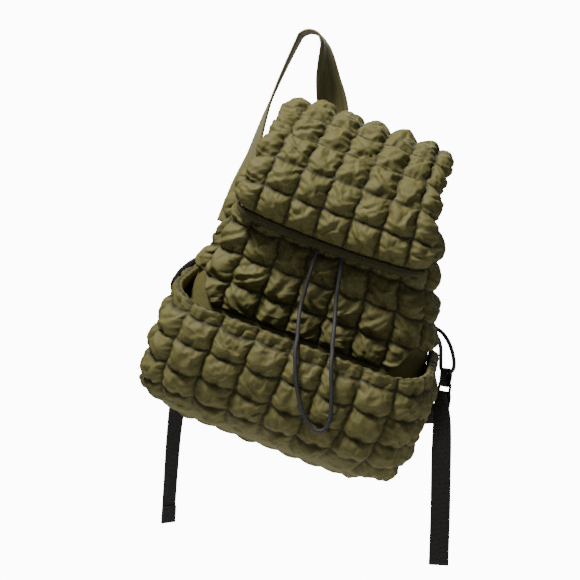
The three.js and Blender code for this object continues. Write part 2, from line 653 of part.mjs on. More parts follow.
// The slider: three bars between two sides, with a window above the middle bar and one below it.
function slider({ square, up, face, grip }) {
  const inner = WEBBING_WIDTH + 4 * CLEARANCE;
  const rectangle = (w, low, high) => [
    new THREE.Vector2(-w / 2, low),
    new THREE.Vector2(w / 2, low),
    new THREE.Vector2(w / 2, high),
    new THREE.Vector2(-w / 2, high),
  ];
  const edge = BAR_PITCH + SLIDER_BAR / 2;
  const shape = new THREE.Shape(rectangle(inner + 2 * SLIDER_BAR, -edge, edge));
  [-1, 0].forEach((k) => {
    const low = k * BAR_PITCH + SLIDER_BAR / 2;
    shape.holes.push(new THREE.Path(rectangle(inner, low, low + SLIDER_WINDOW).reverse()));
  });
  const geometry = new THREE.ExtrudeGeometry(shape, { depth: SLIDER_DEPTH, bevelEnabled: false });
  geometry.translate(0, 0, -SLIDER_DEPTH / 2);
  const turn = new THREE.Matrix4().makeBasis(square, up, new THREE.Vector3().crossVectors(square, up));
  return geometry.applyMatrix4(turn.setPosition(grip));
}

// The short band that holds a slider's top bar to its cord loop.
function loopBand(fitting) {
  const narrow = LOOP_BAND_WIDTH / WEBBING_WIDTH;
  const overCord = (LOOP_CORD_DIAMETER + WEBBING_THICKNESS) / 2 + CLEARANCE;
  const stations = [
    ...fitting.round(fitting.fold, overCord, [90, 45, 0, -45, -90], narrow),
    ...fitting.round(topBar(fitting), roundBarRadius, [-90, -135, 180, 135, 90], narrow),
  ];
  return band(stations, WEBBING_WIDTH, WEBBING_THICKNESS, 3 * stations.length, true);
}

const beyondEnd = (end, before, gap = 2 * CLEARANCE) =>
  end.clone().addScaledVector(end.clone().sub(before).normalize(), gap);

// The left webbing comes down taut behind its loop, through the slider and on to its loose end.
function webbingLeft() {
  const fitting = fittings.left;
  const low = lowBar(fitting);
  const across = X.clone().negate();
  const from = (dx, dy, dz) => low.clone().add(new THREE.Vector3(dx, dy, dz));
  const { square } = fitting;
  const back = square.clone().negate();
  const stations = [
    station(beyondEnd(strapEnds.left, behindBag(-0.91, 15, 0.81)), across),
    station(beyondEnd(strapEnds.left, behindBag(-0.91, 15, 0.81), WEBBING_WIDTH / 2), across),
    station(behindBag(-0.94, 15, 0.56), turned(across, back, 0.1)),
    station(behindBag(-1.04, 12, 0.47), turned(across, back, 0.45)),
    { ...fitting.off(fitting.fold, 2, -9), wide: back },
    { ...fitting.off(topBar(fitting), 0, -6.5), wide: back },
    ...[
      ...fitting.round(fitting.grip, roundBarRadius, [-90, -135]),
      ...fitting.round(low, roundBarRadius, [45, 90]),
    ].map((s) => ({ ...s, wide: back })),
    { ...fitting.off(low, -SLIDER_BAR - SLIDER_WINDOW, roundBarRadius), wide: back },
    station(from(3, 4, -26), turned(back, across, 0.35)),
    station(from(-1, 13, -0.2 * TAIL_LEFT), turned(back, across, 0.6)),
    station(from(-4, 14, -0.36 * TAIL_LEFT), turned(back, across, 0.6)),
    station(from(-8, 9, -0.6 * TAIL_LEFT), turned(back, across, 0.25)),
    station(from(-12, 7, -0.8 * TAIL_LEFT), turned(back, across, 0.12)),
    station(from(-14, 7, -TAIL_LEFT), turned(back, across, 0.1)),
  ];
  return band(stations, WEBBING_WIDTH, WEBBING_THICKNESS, 4 * (stations.length - 1));
}

// The right webbing comes up slack from behind the bag, over the slider's lowest bar and down to its loose
// end.
function webbingRight() {
  const fitting = fittings.right;
  const { square } = fitting;
  const low = lowBar(fitting);
  const from = (dx, dy, dz) => low.clone().add(new THREE.Vector3(dx, dy, dz));
  const stations = [
    station(beyondEnd(strapEnds.right, behindBag(0.54, 14, 0.165)), Z),
    station(beyondEnd(strapEnds.right, behindBag(0.54, 14, 0.165), WEBBING_WIDTH / 2), Z),
    station(from(-30, 38, -31), turned(Z, square, 0.15)),
    station(from(-14, 27, -28), turned(Z, square, 0.4)),
    station(from(-5, 14, -22), turned(Z, square, 0.7)),
    fitting.off(low, -8, -roundBarRadius - 0.6),
    ...fitting.round(low, roundBarRadius, [-90, -45, 0, 45, 90]),
    station(from(-2, -3, -0.16 * TAIL_RIGHT), turned(square, X, 0.6)),
    station(from(-3, 0, -0.4 * TAIL_RIGHT), X),
    station(from(-4, 3, -0.7 * TAIL_RIGHT), X),
    station(from(-6, 4, -TAIL_RIGHT), X),
  ];
  return band(stations, WEBBING_WIDTH, WEBBING_THICKNESS, 4 * (stations.length - 1));
}

function named(name, geometry, material) {
  const mesh = new THREE.Mesh(geometry, material);
  mesh.name = name;
  return mesh;
}

const backpack = new THREE.Group();
bag.add(
  named("body_shell", bodyShell(), clothOlive),
  named("front_pouch", frontPouch(), clothOlive),
  named("lid_flap", lid(), clothOlive),
  named("lid_piping", lidPiping(), bindingOlive),
  named("drawcord", cord(drawcordRoute, CORD_DIAMETER, cordSteps.drawcord), cordGrey),
  named("side_cord_loop_left", cord(leftLoopRoute, LOOP_CORD_DIAMETER, cordSteps.loop), cordGrey),
  named("side_cord_loop_right", cord(rightLoopRoute, LOOP_CORD_DIAMETER, cordSteps.loop), cordGrey),
);
backpack.add(
  bag,
  named("strap_left", strapLeft(), strapOlive),
  named("strap_right", strapRight(), strapOlive),
  named("ladder_lock_left", slider(fittings.left), fittingBlack),
  named("ladder_lock_right", slider(fittings.right), fittingBlack),
  named("loop_band_left", loopBand(fittings.left), webbingBlack),
  named("loop_band_right", loopBand(fittings.right), webbingBlack),
  named("strap_webbing_left", webbingLeft(), webbingBlack),
  named("strap_webbing_right", webbingRight(), webbingBlack),
);

export default backpack;
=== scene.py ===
"""A quilted puffer backpack that hangs by its left shoulder strap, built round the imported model."""

import logging
import math
from dataclasses import dataclass
from enum import Enum
from typing import Callable, Sequence

import bpy
import numpy as np
from mathutils import Matrix, Vector


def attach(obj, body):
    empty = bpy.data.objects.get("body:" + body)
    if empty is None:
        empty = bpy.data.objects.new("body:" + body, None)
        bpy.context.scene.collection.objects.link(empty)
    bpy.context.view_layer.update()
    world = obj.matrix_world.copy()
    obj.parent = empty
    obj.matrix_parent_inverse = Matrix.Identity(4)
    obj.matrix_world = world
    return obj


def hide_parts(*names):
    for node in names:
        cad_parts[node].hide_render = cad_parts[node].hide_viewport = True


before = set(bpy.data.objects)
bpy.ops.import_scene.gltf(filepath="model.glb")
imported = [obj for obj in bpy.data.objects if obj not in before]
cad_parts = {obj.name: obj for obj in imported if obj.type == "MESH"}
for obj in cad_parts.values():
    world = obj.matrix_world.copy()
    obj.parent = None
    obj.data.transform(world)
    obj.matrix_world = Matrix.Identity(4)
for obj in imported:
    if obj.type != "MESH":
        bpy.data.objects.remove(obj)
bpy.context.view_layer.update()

log = logging.getLogger("backpack")

# Shapes are worked out in millimetres in the bag's own upright frame, and leaned over as the bag hangs.
MM = 0.001
LEAN = math.radians(20.0)
BAG_PLACE = np.array([125.0, -65.0, -498.0])
BAG_ACROSS = np.array([math.cos(LEAN), 0.0, -math.sin(LEAN)])
X = np.array([1.0, 0.0, 0.0])
Y = np.array([0.0, 1.0, 0.0])
Z = np.array([0.0, 0.0, 1.0])

# A distance from a seam that is far enough for none of the painted seam shade to show, in millimetres
NO_SEAM = 40.0

Row = tuple[float, ...]


# Small tools for shapes


def hung(points: Sequence) -> np.ndarray:
    """Moves points from the bag's own frame to the frame that it hangs in.

    Args:
        points: points in millimetres, in an array whose last axis is x, y and z.

    Returns:
        The same points in the hanging frame, in millimetres.
    """
    p = np.asarray(points, float) + BAG_PLACE
    c, s = math.cos(LEAN), math.sin(LEAN)
    return np.stack([p[..., 0] * c + p[..., 2] * s, p[..., 1], p[..., 2] * c - p[..., 0] * s], -1)


def unit(v: np.ndarray) -> np.ndarray:
    """Returns vectors with a length of one."""
    return v / np.maximum(np.linalg.norm(v, axis=-1, keepdims=True), 1e-9)


def ease(value: np.ndarray, low: float, high: float) -> np.ndarray:
    """Returns 0 below low and 1 above high, with a smooth rise between."""
    t = np.clip((value - low) / (high - low), 0.0, 1.0)
    return t * t * (3.0 - 2.0 * t)


def wobble(x: np.ndarray, seed: float) -> np.ndarray:
    """A smooth uneven wave between about -1 and 1.

    Args:
        x: places along it, in radians of its main wave.
        seed: a number that picks one wave out of many.

    Returns:
        The height at each place.
    """
    return (
        0.5 * np.sin(x + 5.1 * seed)
        + 0.3 * np.sin(2.27 * x + 11.7 * seed + 1.3)
        + 0.2 * np.sin(4.13 * x - 7.9 * seed + 0.4)
    )


def between(table: dict[str, Row], column: str, up: np.ndarray) -> np.ndarray:
    """One column of a table at places between its rows, on a smooth curve through them.

    Args:
        table: columns of numbers, one of which is up.
        column: the column to read.
        up: the places, as values of up.

    Returns:
        The column's value at each place.
    """
    ups, values = np.array(table["up"]), np.array(table[column])
    rows = np.arange(len(ups))
    before, after = np.maximum(rows - 1, 0), np.minimum(rows + 1, len(ups) - 1)
    slopes = (values[after] - values[before]) / (ups[after] - ups[before])
    up = np.asarray(up, float)
    i = np.clip(np.searchsorted(ups, up, side="left") - 1, 0, len(ups) - 2)
    step = ups[i + 1] - ups[i]
    t = np.clip((up - ups[i]) / step, 0.0, 1.0)
    t2, t3 = t * t, t * t * t
    return (
        (2 * t3 - 3 * t2 + 1) * values[i]
        + (t3 - 2 * t2 + t) * step * slopes[i]
        + (3 * t2 - 2 * t3) * values[i + 1]
        + (t3 - t2) * step * slopes[i + 1]
    )


def smooth_curve(points: Sequence, shares: np.ndarray, closed: bool = False) -> np.ndarray:
    """Places on a smooth curve through points.

    Args:
        points: the points that it goes through.
        shares: places along it, from 0 to 1, with as much for each span between points.
        closed: whether the last point joins the first.

    Returns:
        An array of points.
    """
    p = np.asarray(points, float)
    n = len(p)
    spans = n if closed else n - 1
    if closed:
        padded = np.vstack([p[-1], p, p[0], p[1]])
    else:
        padded = np.vstack([2 * p[0] - p[1], p, 2 * p[-1] - p[-2]])
    place = np.clip(np.asarray(shares, float), 0.0, 1.0) * spans
    k = np.clip(place.astype(int), 0, spans - 1)
    t = (place - k)[:, None]
    a, b, c, d = (padded[k + i] for i in range(4))
    spacing = [np.linalg.norm(y - x, axis=1, keepdims=True) for x, y in ((a, b), (b, c), (c, d))]
    g0, g1, g2 = (np.maximum(gap, 1e-6) ** 0.5 for gap in spacing)
    out = ((b - a) / g0 - (c - a) / (g0 + g1) + (c - b) / g1) * g1
    into = ((c - b) / g1 - (d - b) / (g1 + g2) + (d - c) / g2) * g1
    return (
        b + out * t + (3 * (c - b) - 2 * out - into) * t**2 + (2 * (b - c) + out + into) * t**3
    )


def even_curve(points: Sequence, step: float, closed: bool = False) -> np.ndarray:
    """Points on a smooth curve, about a step apart all along it."""
    dense = smooth_curve(points, np.linspace(0, 1, 60 * len(points)), closed)
    along = np.concatenate([[0.0], np.cumsum(np.linalg.norm(np.diff(dense, axis=0), axis=1))])
    count = max(2, round(along[-1] / step) + 1)
    at = np.linspace(0, along[-1], count)
    return np.stack([np.interp(at, along, dense[:, k]) for k in range(3)], -1)


@dataclass(frozen=True)
class Stations:
    """Places across cells of quilting.

    at is each one's share of the whole, and share its share of its cell. low and high are the places of the
    seams beside it.
    """

    at: np.ndarray
    share: np.ndarray
    low: np.ndarray
    high: np.ndarray
    cell: np.ndarray


def stations(seams: Sequence[float], steps: int) -> Stations:
    """Divides cells between seams into even steps.

    Args:
        seams: the seams, from first to last.
        steps: the steps in each cell.

    Returns:
        The stations, with one on each seam.
    """
    seams = np.asarray(seams, float)
    cells = len(seams) - 1
    cell = np.append(np.repeat(np.arange(cells), steps), cells - 1)
    share = np.append(np.tile(np.arange(steps) / steps, cells), 1.0)
    at = seams[cell] + (seams[cell + 1] - seams[cell]) * share
    low = cell * steps
    return Stations(at, share, low, low + steps, cell)


@dataclass(frozen=True)
class Quilting:
    """How one panel is quilted, in millimetres.

    puff is how far a cell stands off its seams, bow how far a level seam hangs between two upright ones,
    jag how far an upright seam strays, gather the height of the small gathers along it, and droop the share
    of its height that a puff hangs down. joined is the share of a puff's height that is left at its level
    seams, and fold the height of the soft folds across it. side_gather is the height of the gathers right
    across its two outer columns, and fullness how flat the top of a puff is.
    """

    puff: float
    bow: float
    jag: float
    gather: float
    gather_length: float
    droop: float
    joined: float
    fold: float
    fullness: float = 3.4
    side_gather: float = 0.0


@dataclass
class Panel:
    """A quilted surface on a grid, with a row for each level station and a column for each upright one."""

    points: np.ndarray
    inward: np.ndarray
    uv: np.ndarray
    upright: np.ndarray
    level: np.ndarray
    pinned: np.ndarray


def grid_normals(grid: np.ndarray, outwards: np.ndarray) -> np.ndarray:
    """Directions square to a grid, on the side of given directions.

    Args:
        grid: rows of points.
        outwards: a rough outward direction for each point.

    Returns:
        A unit direction for each point.
    """
    normals = unit(np.cross(np.gradient(grid, axis=1), np.gradient(grid, axis=0)))
    if np.sum(normals * outwards) < 0:
        normals = -normals
    return normals


def distances(grid: np.ndarray, axis: int) -> np.ndarray:
    """How far along a grid's rows or columns each of its points is."""
    steps = np.linalg.norm(np.diff(grid, axis=axis), axis=2)
    start = np.zeros((1, grid.shape[1]) if axis == 0 else (grid.shape[0], 1))
    return np.concatenate([start, np.cumsum(steps, axis=axis)], axis=axis)


def quilt(
    surface: Callable[[np.ndarray, np.ndarray], np.ndarray],
    columns: Stations,
    rows: Stations,
    how: Quilting,
    amount: np.ndarray,
    outwards: Callable[[np.ndarray], np.ndarray],
    hold: np.ndarray,
) -> Panel:
    """Shapes a quilted surface: puffs between seams that bow, stray and gather.

    Args:
        surface: gives points for shares across and along.
        columns: the stations across.
        rows: the stations along.
        how: how the panel is quilted.
        amount: for each row and column, how much of the puff is there.
        outwards: a rough outward direction for points.
        hold: for each row, 1 where its seams bow and stray and 0 where they stay.

    Returns:
        The shaped surface.
    """
    across, along = np.meshgrid(columns.at, rows.at)
    flat = surface(across, along)
    run_across, run_along = (distances(flat, axis) for axis in (1, 0))
    above_seam = run_along - run_along[rows.low, :]
    to_level = np.minimum(above_seam, run_along[rows.high, :] - run_along)
    beside_seam = run_across - run_across[:, columns.low]
    to_upright = np.minimum(beside_seam, run_across[:, columns.high] - run_across)
    nearest_upright = columns.cell + (columns.share > 0.5)
    nearest_level = rows.cell + (rows.share > 0.5)
    # Seams that stray to the side and hang between each other
    stray = how.jag * wobble(run_along / 4.6, 1.0 + nearest_upright[None, :] * 0.37)
    stray = stray * np.exp(-to_upright / 9.0)
    sag = how.bow * (4 * columns.share * (1 - columns.share))[None, :]
    sag = sag * (1 + 0.35 * np.sin(2.4 * columns.cell + 1.7 * nearest_level[:, None]))
    total_across = np.maximum(run_across[:, -1:], 1.0)
    total_along = np.maximum(run_along[-1:, :], 1.0)
    edge = np.minimum(1.0, np.minimum(across, 1 - across) / 0.02) if columns.at[0] >= 0 else 1.0
    base = surface(
        across + stray * hold[:, None] * edge / total_across * (columns.at[-1] - columns.at[0]),
        along - sag * hold[:, None] / total_along * (rows.at[-1] - rows.at[0]),
    )
    normal = grid_normals(base, outwards(base))
    rise_across = 1 - np.abs(2 * columns.share - 1) ** how.fullness
    lower = rows.share - 0.09 * np.sin(np.pi * rows.share)
    rise_along = 1 - np.abs(2 * lower - 1) ** how.fullness
    uneven = 1 + 0.12 * np.sin(2.1 * columns.cell[None, :] + 3.7 * rows.cell[:, None])
    at_level_seams = how.joined * ((rows.cell > 0) | (rows.share > 0.5)) * (rows.at < rows.at[-1])
    rise_along = at_level_seams + (1 - at_level_seams) * rise_along
    # A small dark pucker in the middle of each cell's lower seam
    middle = columns.share - 0.5 - 0.13 * np.sin(3.1 * columns.cell)
    pucker = np.exp(-((middle[None, :] + 0.1 * np.sin(2.3 * rows.cell)[:, None]) ** 2) / 0.012)
    pucker = 0.55 * pucker * np.exp(-((above_seam - 3.0) ** 2) / 30.0)
    height = how.puff * amount * rise_along[:, None] * rise_across[None, :] * uneven * (1 - pucker)
    slant = np.sin(1.9 * columns.cell[None, :] + 2.9 * rows.cell[:, None])
    across_folds = (run_across + 1.6 * slant * run_along) / 4.2
    folds = 0.7 * np.sin(across_folds + columns.cell)
    folds = folds + 0.3 * np.sin(1.6 * across_folds + rows.cell[:, None])
    folds = how.fold * folds
    folds = folds * np.minimum(1.0, to_upright / 5.0) * np.minimum(1.0, to_level / 5.0)
    seed_upright = 0.61 * nearest_upright[None, :] + 0.23 * (columns.share > 0.5)[None, :]
    gathers = how.gather * (
        wobble(2 * np.pi * run_along / how.gather_length, seed_upright) * np.exp(-to_upright / 7.0)
        * np.minimum(1.0, to_upright / 2.0)
        + 0.55 * wobble(2 * np.pi * run_across / (1.5 * how.gather_length), 3 + 0.47 * nearest_level[:, None])
        * np.exp(-to_level / 6.0) * np.minimum(1.0, to_level / 2.0)
    )
    outer = (columns.cell == 0) | (columns.cell == columns.cell[-1])
    gathers = gathers + how.side_gather * outer * np.minimum(1.0, to_upright / 3.0) * wobble(
        2 * np.pi * run_along / 8.5 + 0.2 * run_across / how.gather_length, 7.0
    )
    down = np.array([0.0, 0.0, -1.0])
    down_on_face = down - normal * np.sum(normal * down, axis=-1, keepdims=True)
    points = (
        base
        + normal * (height + (gathers + folds) * np.minimum(1.0, amount + 0.1))[..., None]
        + down_on_face * (how.droop * height * hold[:, None])[..., None]
    )
    on_seam = (columns.share[None, :] % 1 == 0) | (rows.share[:, None] % 1 == 0)
    pinned = np.where(on_seam | (amount < 0.05), 1.0, 0.0)
    sewn = amount > 0.05
    uv = np.stack([run_across, run_along], -1) * MM
    # Points without a puff are set far from every seam, so the painted seam shade leaves them alone
    to_upright, to_level = (np.where(sewn, far, NO_SEAM) for far in (to_upright, to_level))
    return Panel(points, -normal, uv, to_upright, to_level, pinned)


# Meshes


def new_piece(name: str, points: np.ndarray, faces: list[tuple[int, ...]]) -> bpy.types.Object:
    """Makes a mesh object whose faces point outwards.

    Args:
        name: the piece's name.
        points: its corners in the hanging frame, in millimetres.
        faces: its faces, all wound the same way.

    Returns:
        The new object, linked to the scene.
    """
    mesh = bpy.data.meshes.new(name)
    flat = np.asarray(points, float).reshape(-1, 3) * MM
    triangles = [(f[0], f[i], f[i + 1]) for f in faces for i in range(1, len(f) - 1)]
    t = flat[np.array(triangles)]
    volume = np.sum(t[:, 0] * np.cross(t[:, 1], t[:, 2]))
    mesh.from_pydata(flat.tolist(), [], faces if volume > 0 else [tuple(reversed(f)) for f in faces])
    mesh.validate()
    for polygon in mesh.polygons:
        polygon.use_smooth = True
    piece = bpy.data.objects.new(name, mesh)
    bpy.context.scene.collection.objects.link(piece)
    return piece


def set_uv(piece: bpy.types.Object, uv: np.ndarray) -> None:
    """Gives a piece a UV map from one place for each corner point.

    Args:
        piece: the piece.
        uv: the places, in metres along the cloth.
    """
    layer = piece.data.uv_layers.new(name="cloth")
    corners = np.empty(len(piece.data.loops), dtype=np.int32)
    piece.data.loops.foreach_get("vertex_index", corners)
    layer.data.foreach_set("uv", uv.reshape(-1, 2)[corners].ravel().astype(np.float32))


def set_values(piece: bpy.types.Object, name: str, values: np.ndarray) -> None:
    """Stores one number for each point of a piece, for its material to read."""
    attribute = piece.data.attributes.new(name, "FLOAT", "POINT")
    attribute.data.foreach_set("value", values.ravel().astype(np.float32))


def store_panel(piece: bpy.types.Object, panel: Panel, uv: np.ndarray, lines: list[tuple]) -> np.ndarray:
    """Stores what a piece's material and filling read, from the quilted panel that it holds.

    Args:
        piece: the piece.
        panel: its quilted panel.
        uv: the place on the cloth of every point, before the panel's own are put in.
        lines: for each row or column of the panel, its place in the piece's points and in the panel.

    Returns:
        For each point, 1 where it is held in the simulation.
    """
    upright, level = (np.full(len(uv), NO_SEAM) for _ in range(2))
    pinned = np.ones(len(uv))
    for here, line in lines:
        uv[here] = panel.uv[line]
        upright[here] = panel.upright[line]
        level[here] = panel.level[line]
        pinned[here] = panel.pinned[line]
    set_uv(piece, uv)
    set_values(piece, "to_upright", upright)
    set_values(piece, "to_level", level)
    return pinned


def columns_of(loops: list[np.ndarray], rows: Stations) -> list[tuple]:
    """For a wall of loops, where each column of its panel lies in its points and in the panel."""
    size, count = len(loops[0]), len(rows.at)
    return [(slice(j * size, j * size + count), (slice(None), j)) for j in range(len(loops))]


def wall(name: str, loops: list[np.ndarray], along: list[np.ndarray], outer: int) -> bpy.types.Object:
    """A thin wall through loops that each run out on one face and back on the other.

    Args:
        name: the piece's name.
        loops: the loops, in the bag's frame.
        along: for the first loop and the last, how far along it each point is.
        outer: the number of a loop's points on the first face.

    Returns:
        The new piece.
    """
    size = len(loops[0])
    faces = loop_faces(len(loops), size)
    faces += [tuple(reversed(t)) for t in wall_end(along[0], outer)]
    start = (len(loops) - 1) * size
    faces += [tuple(start + i for i in t) for t in wall_end(along[1], outer)]
    return new_piece(name, hung(np.vstack(loops)), faces)


def wall_end(along: np.ndarray, outer: int) -> list[tuple[int, int, int]]:
    """Triangles that close the end of a thin wall, whose loop runs out on one face and back on the other.

    Args:
        along: how far along each point of the loop is.
        outer: the number of points on the first face.

    Returns:
        Triangles of places in the loop.
    """
    triangles = []
    i, j = 0, len(along) - 1
    while i < outer - 1 or j > outer:
        if i < outer - 1 and (j == outer or along[i + 1] <= along[j - 1]):
            triangles.append((i, i + 1, j))
            i += 1
        else:
            triangles.append((i, j - 1, j))
            j -= 1
    return triangles


def loop_faces(count: int, size: int, joined: bool = False) -> list[tuple[int, ...]]:
    """Faces of a skin over a row of loops.

    Args:
        count: the number of loops.
        size: the points in each.
        joined: whether the last loop joins the first.

    Returns:
        Faces with four corners.
    """
    faces = []
    for i in range(count if joined else count - 1):
        here, there = i * size, ((i + 1) % count) * size
        for j in range(size):
            k = (j + 1) % size
            faces.append((here + j, here + k, there + k, there + j))
    return faces


def tube(
    name: str, path: np.ndarray, section: Callable[[float], np.ndarray], ups: np.ndarray, joined: bool = False
) -> bpy.types.Object:
    """Sweeps a section along a path.

    Args:
        name: the piece's name.
        path: the path's points, in millimetres.
        section: gives the outline at a share of the path, as places sideways and upwards.
        ups: the upward direction at each point.
        joined: whether the end joins the start.

    Returns:
        The new piece, with a UV map that runs round it and along it.
    """
    if joined:
        tangents = unit(np.roll(path, -1, axis=0) - np.roll(path, 1, axis=0))
    else:
        tangents = unit(np.gradient(path, axis=0))
    count = len(path)
    rises = unit(ups - tangents * np.sum(ups * tangents, axis=1, keepdims=True))
    sides = np.cross(tangents, rises)
    outlines = [section(i / max(1, count - 1)) for i in range(count)]
    loops = np.array(
        [path[i] + outlines[i][:, :1] * sides[i] + outlines[i][:, 1:] * rises[i] for i in range(count)]
    )
    size = loops.shape[1]
    faces = loop_faces(count, size, joined)
    if not joined:
        faces.append(tuple(reversed(range(size))))
        faces.append(tuple((count - 1) * size + j for j in range(size)))
    piece = new_piece(name, loops, faces)
    girth = np.concatenate(
        [[0.0], np.cumsum(np.linalg.norm(np.roll(outlines[0], -1, axis=0) - outlines[0], axis=1))]
    )
    steps = np.linalg.norm(np.roll(path, -1, axis=0) - path, axis=1)
    run = np.concatenate([[0.0], np.cumsum(steps)])
    layer = piece.data.uv_layers.new(name="cloth")
    for polygon in piece.data.polygons:
        corners = [piece.data.loops[i].vertex_index for i in polygon.loop_indices]
        wraps = {c % size for c in corners} >= {0, size - 1}
        laps = {c // size for c in corners} >= {0, count - 1} and count > 2
        for i, corner in zip(polygon.loop_indices, corners):
            j, k = corner % size, corner // size
            u = girth[size] if wraps and j == 0 else girth[j]
            v = run[count] if laps and k == 0 else run[k]
            layer.data[i].uv = (u * MM, v * MM)
    return piece


def subdivide(piece: bpy.types.Object, levels: int = 1) -> None:
    """Adds a subdivision surface with as many levels in the render as in the view."""
    modifier = piece.modifiers.new("smooth", "SUBSURF")
    modifier.levels = levels
    modifier.render_levels = levels
    modifier.boundary_smooth = "PRESERVE_CORNERS"


# Materials


def linear(colour: str) -> tuple[float, float, float, float]:
    """Turns an sRGB hex colour into the linear one that shaders take.

    Args:
        colour: six hex digits after a hash sign.

    Returns:
        Red, green, blue and alpha.
    """
    parts = [int(colour[i : i + 2], 16) / 255 for i in (1, 3, 5)]
    r, g, b = (c / 12.92 if c <= 0.04045 else ((c + 0.055) / 1.055) ** 2.4 for c in parts)
    return r, g, b, 1.0


def add_node(tree: bpy.types.NodeTree, kind: str, inputs: dict | None = None, **settings) -> bpy.types.Node:
    """Adds a node to a material with its settings, values and links.

    Args:
        tree: the material's nodes.
        kind: the node's type.
        inputs: for each input, its value or a pair of a node and the name of its output.
        **settings: the node's own settings.

    Returns:
        The new node.
    """
    node = tree.nodes.new(kind)
    for name, value in settings.items():
        setattr(node, name, value)
    for name, value in (inputs or {}).items():
        socket = node.inputs[name] if isinstance(name, int) else next(
            (s for s in node.inputs if s.identifier == name), None
        ) or node.inputs[name]
        if isinstance(value, tuple) and isinstance(value[0], bpy.types.Node):
            source = next((s for s in value[0].outputs if s.identifier == value[1]), None)
            tree.links.new(source or value[0].outputs[value[1]], socket)
        else:
            socket.default_value = value
    return node


def new_material(name: str) -> tuple[bpy.types.Material, bpy.types.NodeTree, bpy.types.Node]:
    """Starts a material with one shader.

    Returns:
        The material, its nodes and its shader.
    """
    material = bpy.data.materials.new(name)
    material.use_nodes = True
    tree = material.node_tree
    tree.nodes.clear()
    shader = tree.nodes.new("ShaderNodeBsdfPrincipled")
    output = tree.nodes.new("ShaderNodeOutputMaterial")
    tree.links.new(shader.outputs["BSDF"], output.inputs["Surface"])
    return material, tree, shader


def wave_scale(period_mm: float) -> float:
    """The scale of a Wave texture whose bands are so many millimetres apart."""
    return 2 * math.pi / 20 / (period_mm * MM)


@dataclass(frozen=True)
class QuiltedNylon:
    """Downproof nylon taffeta, calendered and filled: a dull satin with fine crushed wrinkles."""

    cloth: str = "#5d5a32"
    worn: str = "#696639"
    # painted shade for the creases at the seams
    painted_crease_shade: str = "#35331a"
    roughness: float = 0.68
    wrinkle_mm: float = 7.0
    crush_mm: float = 1.7
    # Real threads lie 0.15 mm apart: drawn at 0.9 mm, as fine as the render can show
    weave_mm: float = 0.9

    def build(self) -> bpy.types.Material:
        """Builds the material, with painted shade that darkens it in the creases at the seams, by how far from them
        each point is.
        """
        material, tree, shader = new_material("nylon_taffeta")
        place = add_node(tree, "ShaderNodeTexCoord")
        patches = add_node(
            tree, "ShaderNodeTexNoise", {"Vector": (place, "Object"), "Scale": 1 / (45 * MM), "Detail": 3.0}
        )
        base = add_node(
            tree,
            "ShaderNodeMix",
            {
                "Factor_Float": (patches, "Fac"),
                "A_Color": linear(self.cloth),
                "B_Color": linear(self.worn),
            },
            data_type="RGBA",
        )
        colour = (base, "Result_Color")
        wrinkles = add_node(
            tree,
            "ShaderNodeTexNoise",
            {
                "Vector": (place, "Object"),
                "Scale": 1 / (self.wrinkle_mm * MM),
                "Detail": 5.0,
                "Roughness": 0.6,
                "Distortion": 0.8,
            },
        )
        crush = add_node(
            tree,
            "ShaderNodeTexVoronoi",
            {"Vector": (place, "Object"), "Scale": 1 / (self.crush_mm * 5 * MM), "Smoothness": 0.6},
            feature="SMOOTH_F1",
        )
        weave_across = add_node(
            tree,
            "ShaderNodeTexWave",
            {"Vector": (place, "UV"), "Scale": wave_scale(self.weave_mm)},
            bands_direction="X",
        )
        weave_along = add_node(
            tree,
            "ShaderNodeTexWave",
            {"Vector": (place, "UV"), "Scale": wave_scale(self.weave_mm)},
            bands_direction="Y",
        )
        weave = add_node(
            tree, "ShaderNodeMath", {0: (weave_across, "Fac"), 1: (weave_along, "Fac")}, operation="ADD"
        )
        rough = add_node(
            tree, "ShaderNodeBump", {"Strength": 0.4, "Distance": 1.0 * MM, "Height": (wrinkles, "Fac")}
        )
        crushed = add_node(
            tree,
            "ShaderNodeBump",
            {"Strength": 0.22, "Distance": 0.7 * MM, "Height": (crush, "Distance"), "Normal": (rough, "Normal")},
        )
        woven = add_node(
            tree,
            "ShaderNodeBump",
            {"Strength": 0.25, "Distance": 0.08 * MM, "Height": (weave, "Value"), "Normal": (crushed, "Normal")},
        )
        # Painted shade: the colour darkens within 3.2 mm of a seam, where the creases between puffs fall into shade
        near = []
        for name, axis in (("to_upright", 1), ("to_level", 0)):
            far = add_node(tree, "ShaderNodeAttribute", attribute_name=name)
            close = add_node(
                tree,
                "ShaderNodeMapRange",
                {"Value": (far, "Fac"), "From Min": 0.0, "From Max": 3.2, "To Min": 1.0, "To Max": 0.0},
                interpolation_type="SMOOTHSTEP",
            )
            near.append(close)
        either = add_node(
            tree, "ShaderNodeMath", {0: (near[0], "Result"), 1: (near[1], "Result")}, operation="MAXIMUM"
        )
        shaded = add_node(
            tree,
            "ShaderNodeMix",
            {
                "Factor_Float": (either, "Value"),
                "A_Color": colour,
                "B_Color": linear(self.painted_crease_shade),
            },
            data_type="RGBA",
        )
        colour = (shaded, "Result_Color")
        tree.links.new(colour[0].outputs[2], shader.inputs["Base Color"])
        tree.links.new(woven.outputs["Normal"], shader.inputs["Normal"])
        shader.inputs["Roughness"].default_value = self.roughness
        shader.inputs["IOR"].default_value = 1.53
        shader.inputs["Specular IOR Level"].default_value = 0.35
        shader.inputs["Sheen Weight"].default_value = 0.12
        shader.inputs["Sheen Roughness"].default_value = 0.5
        shader.inputs["Sheen Tint"].default_value = linear(self.worn)
        return material


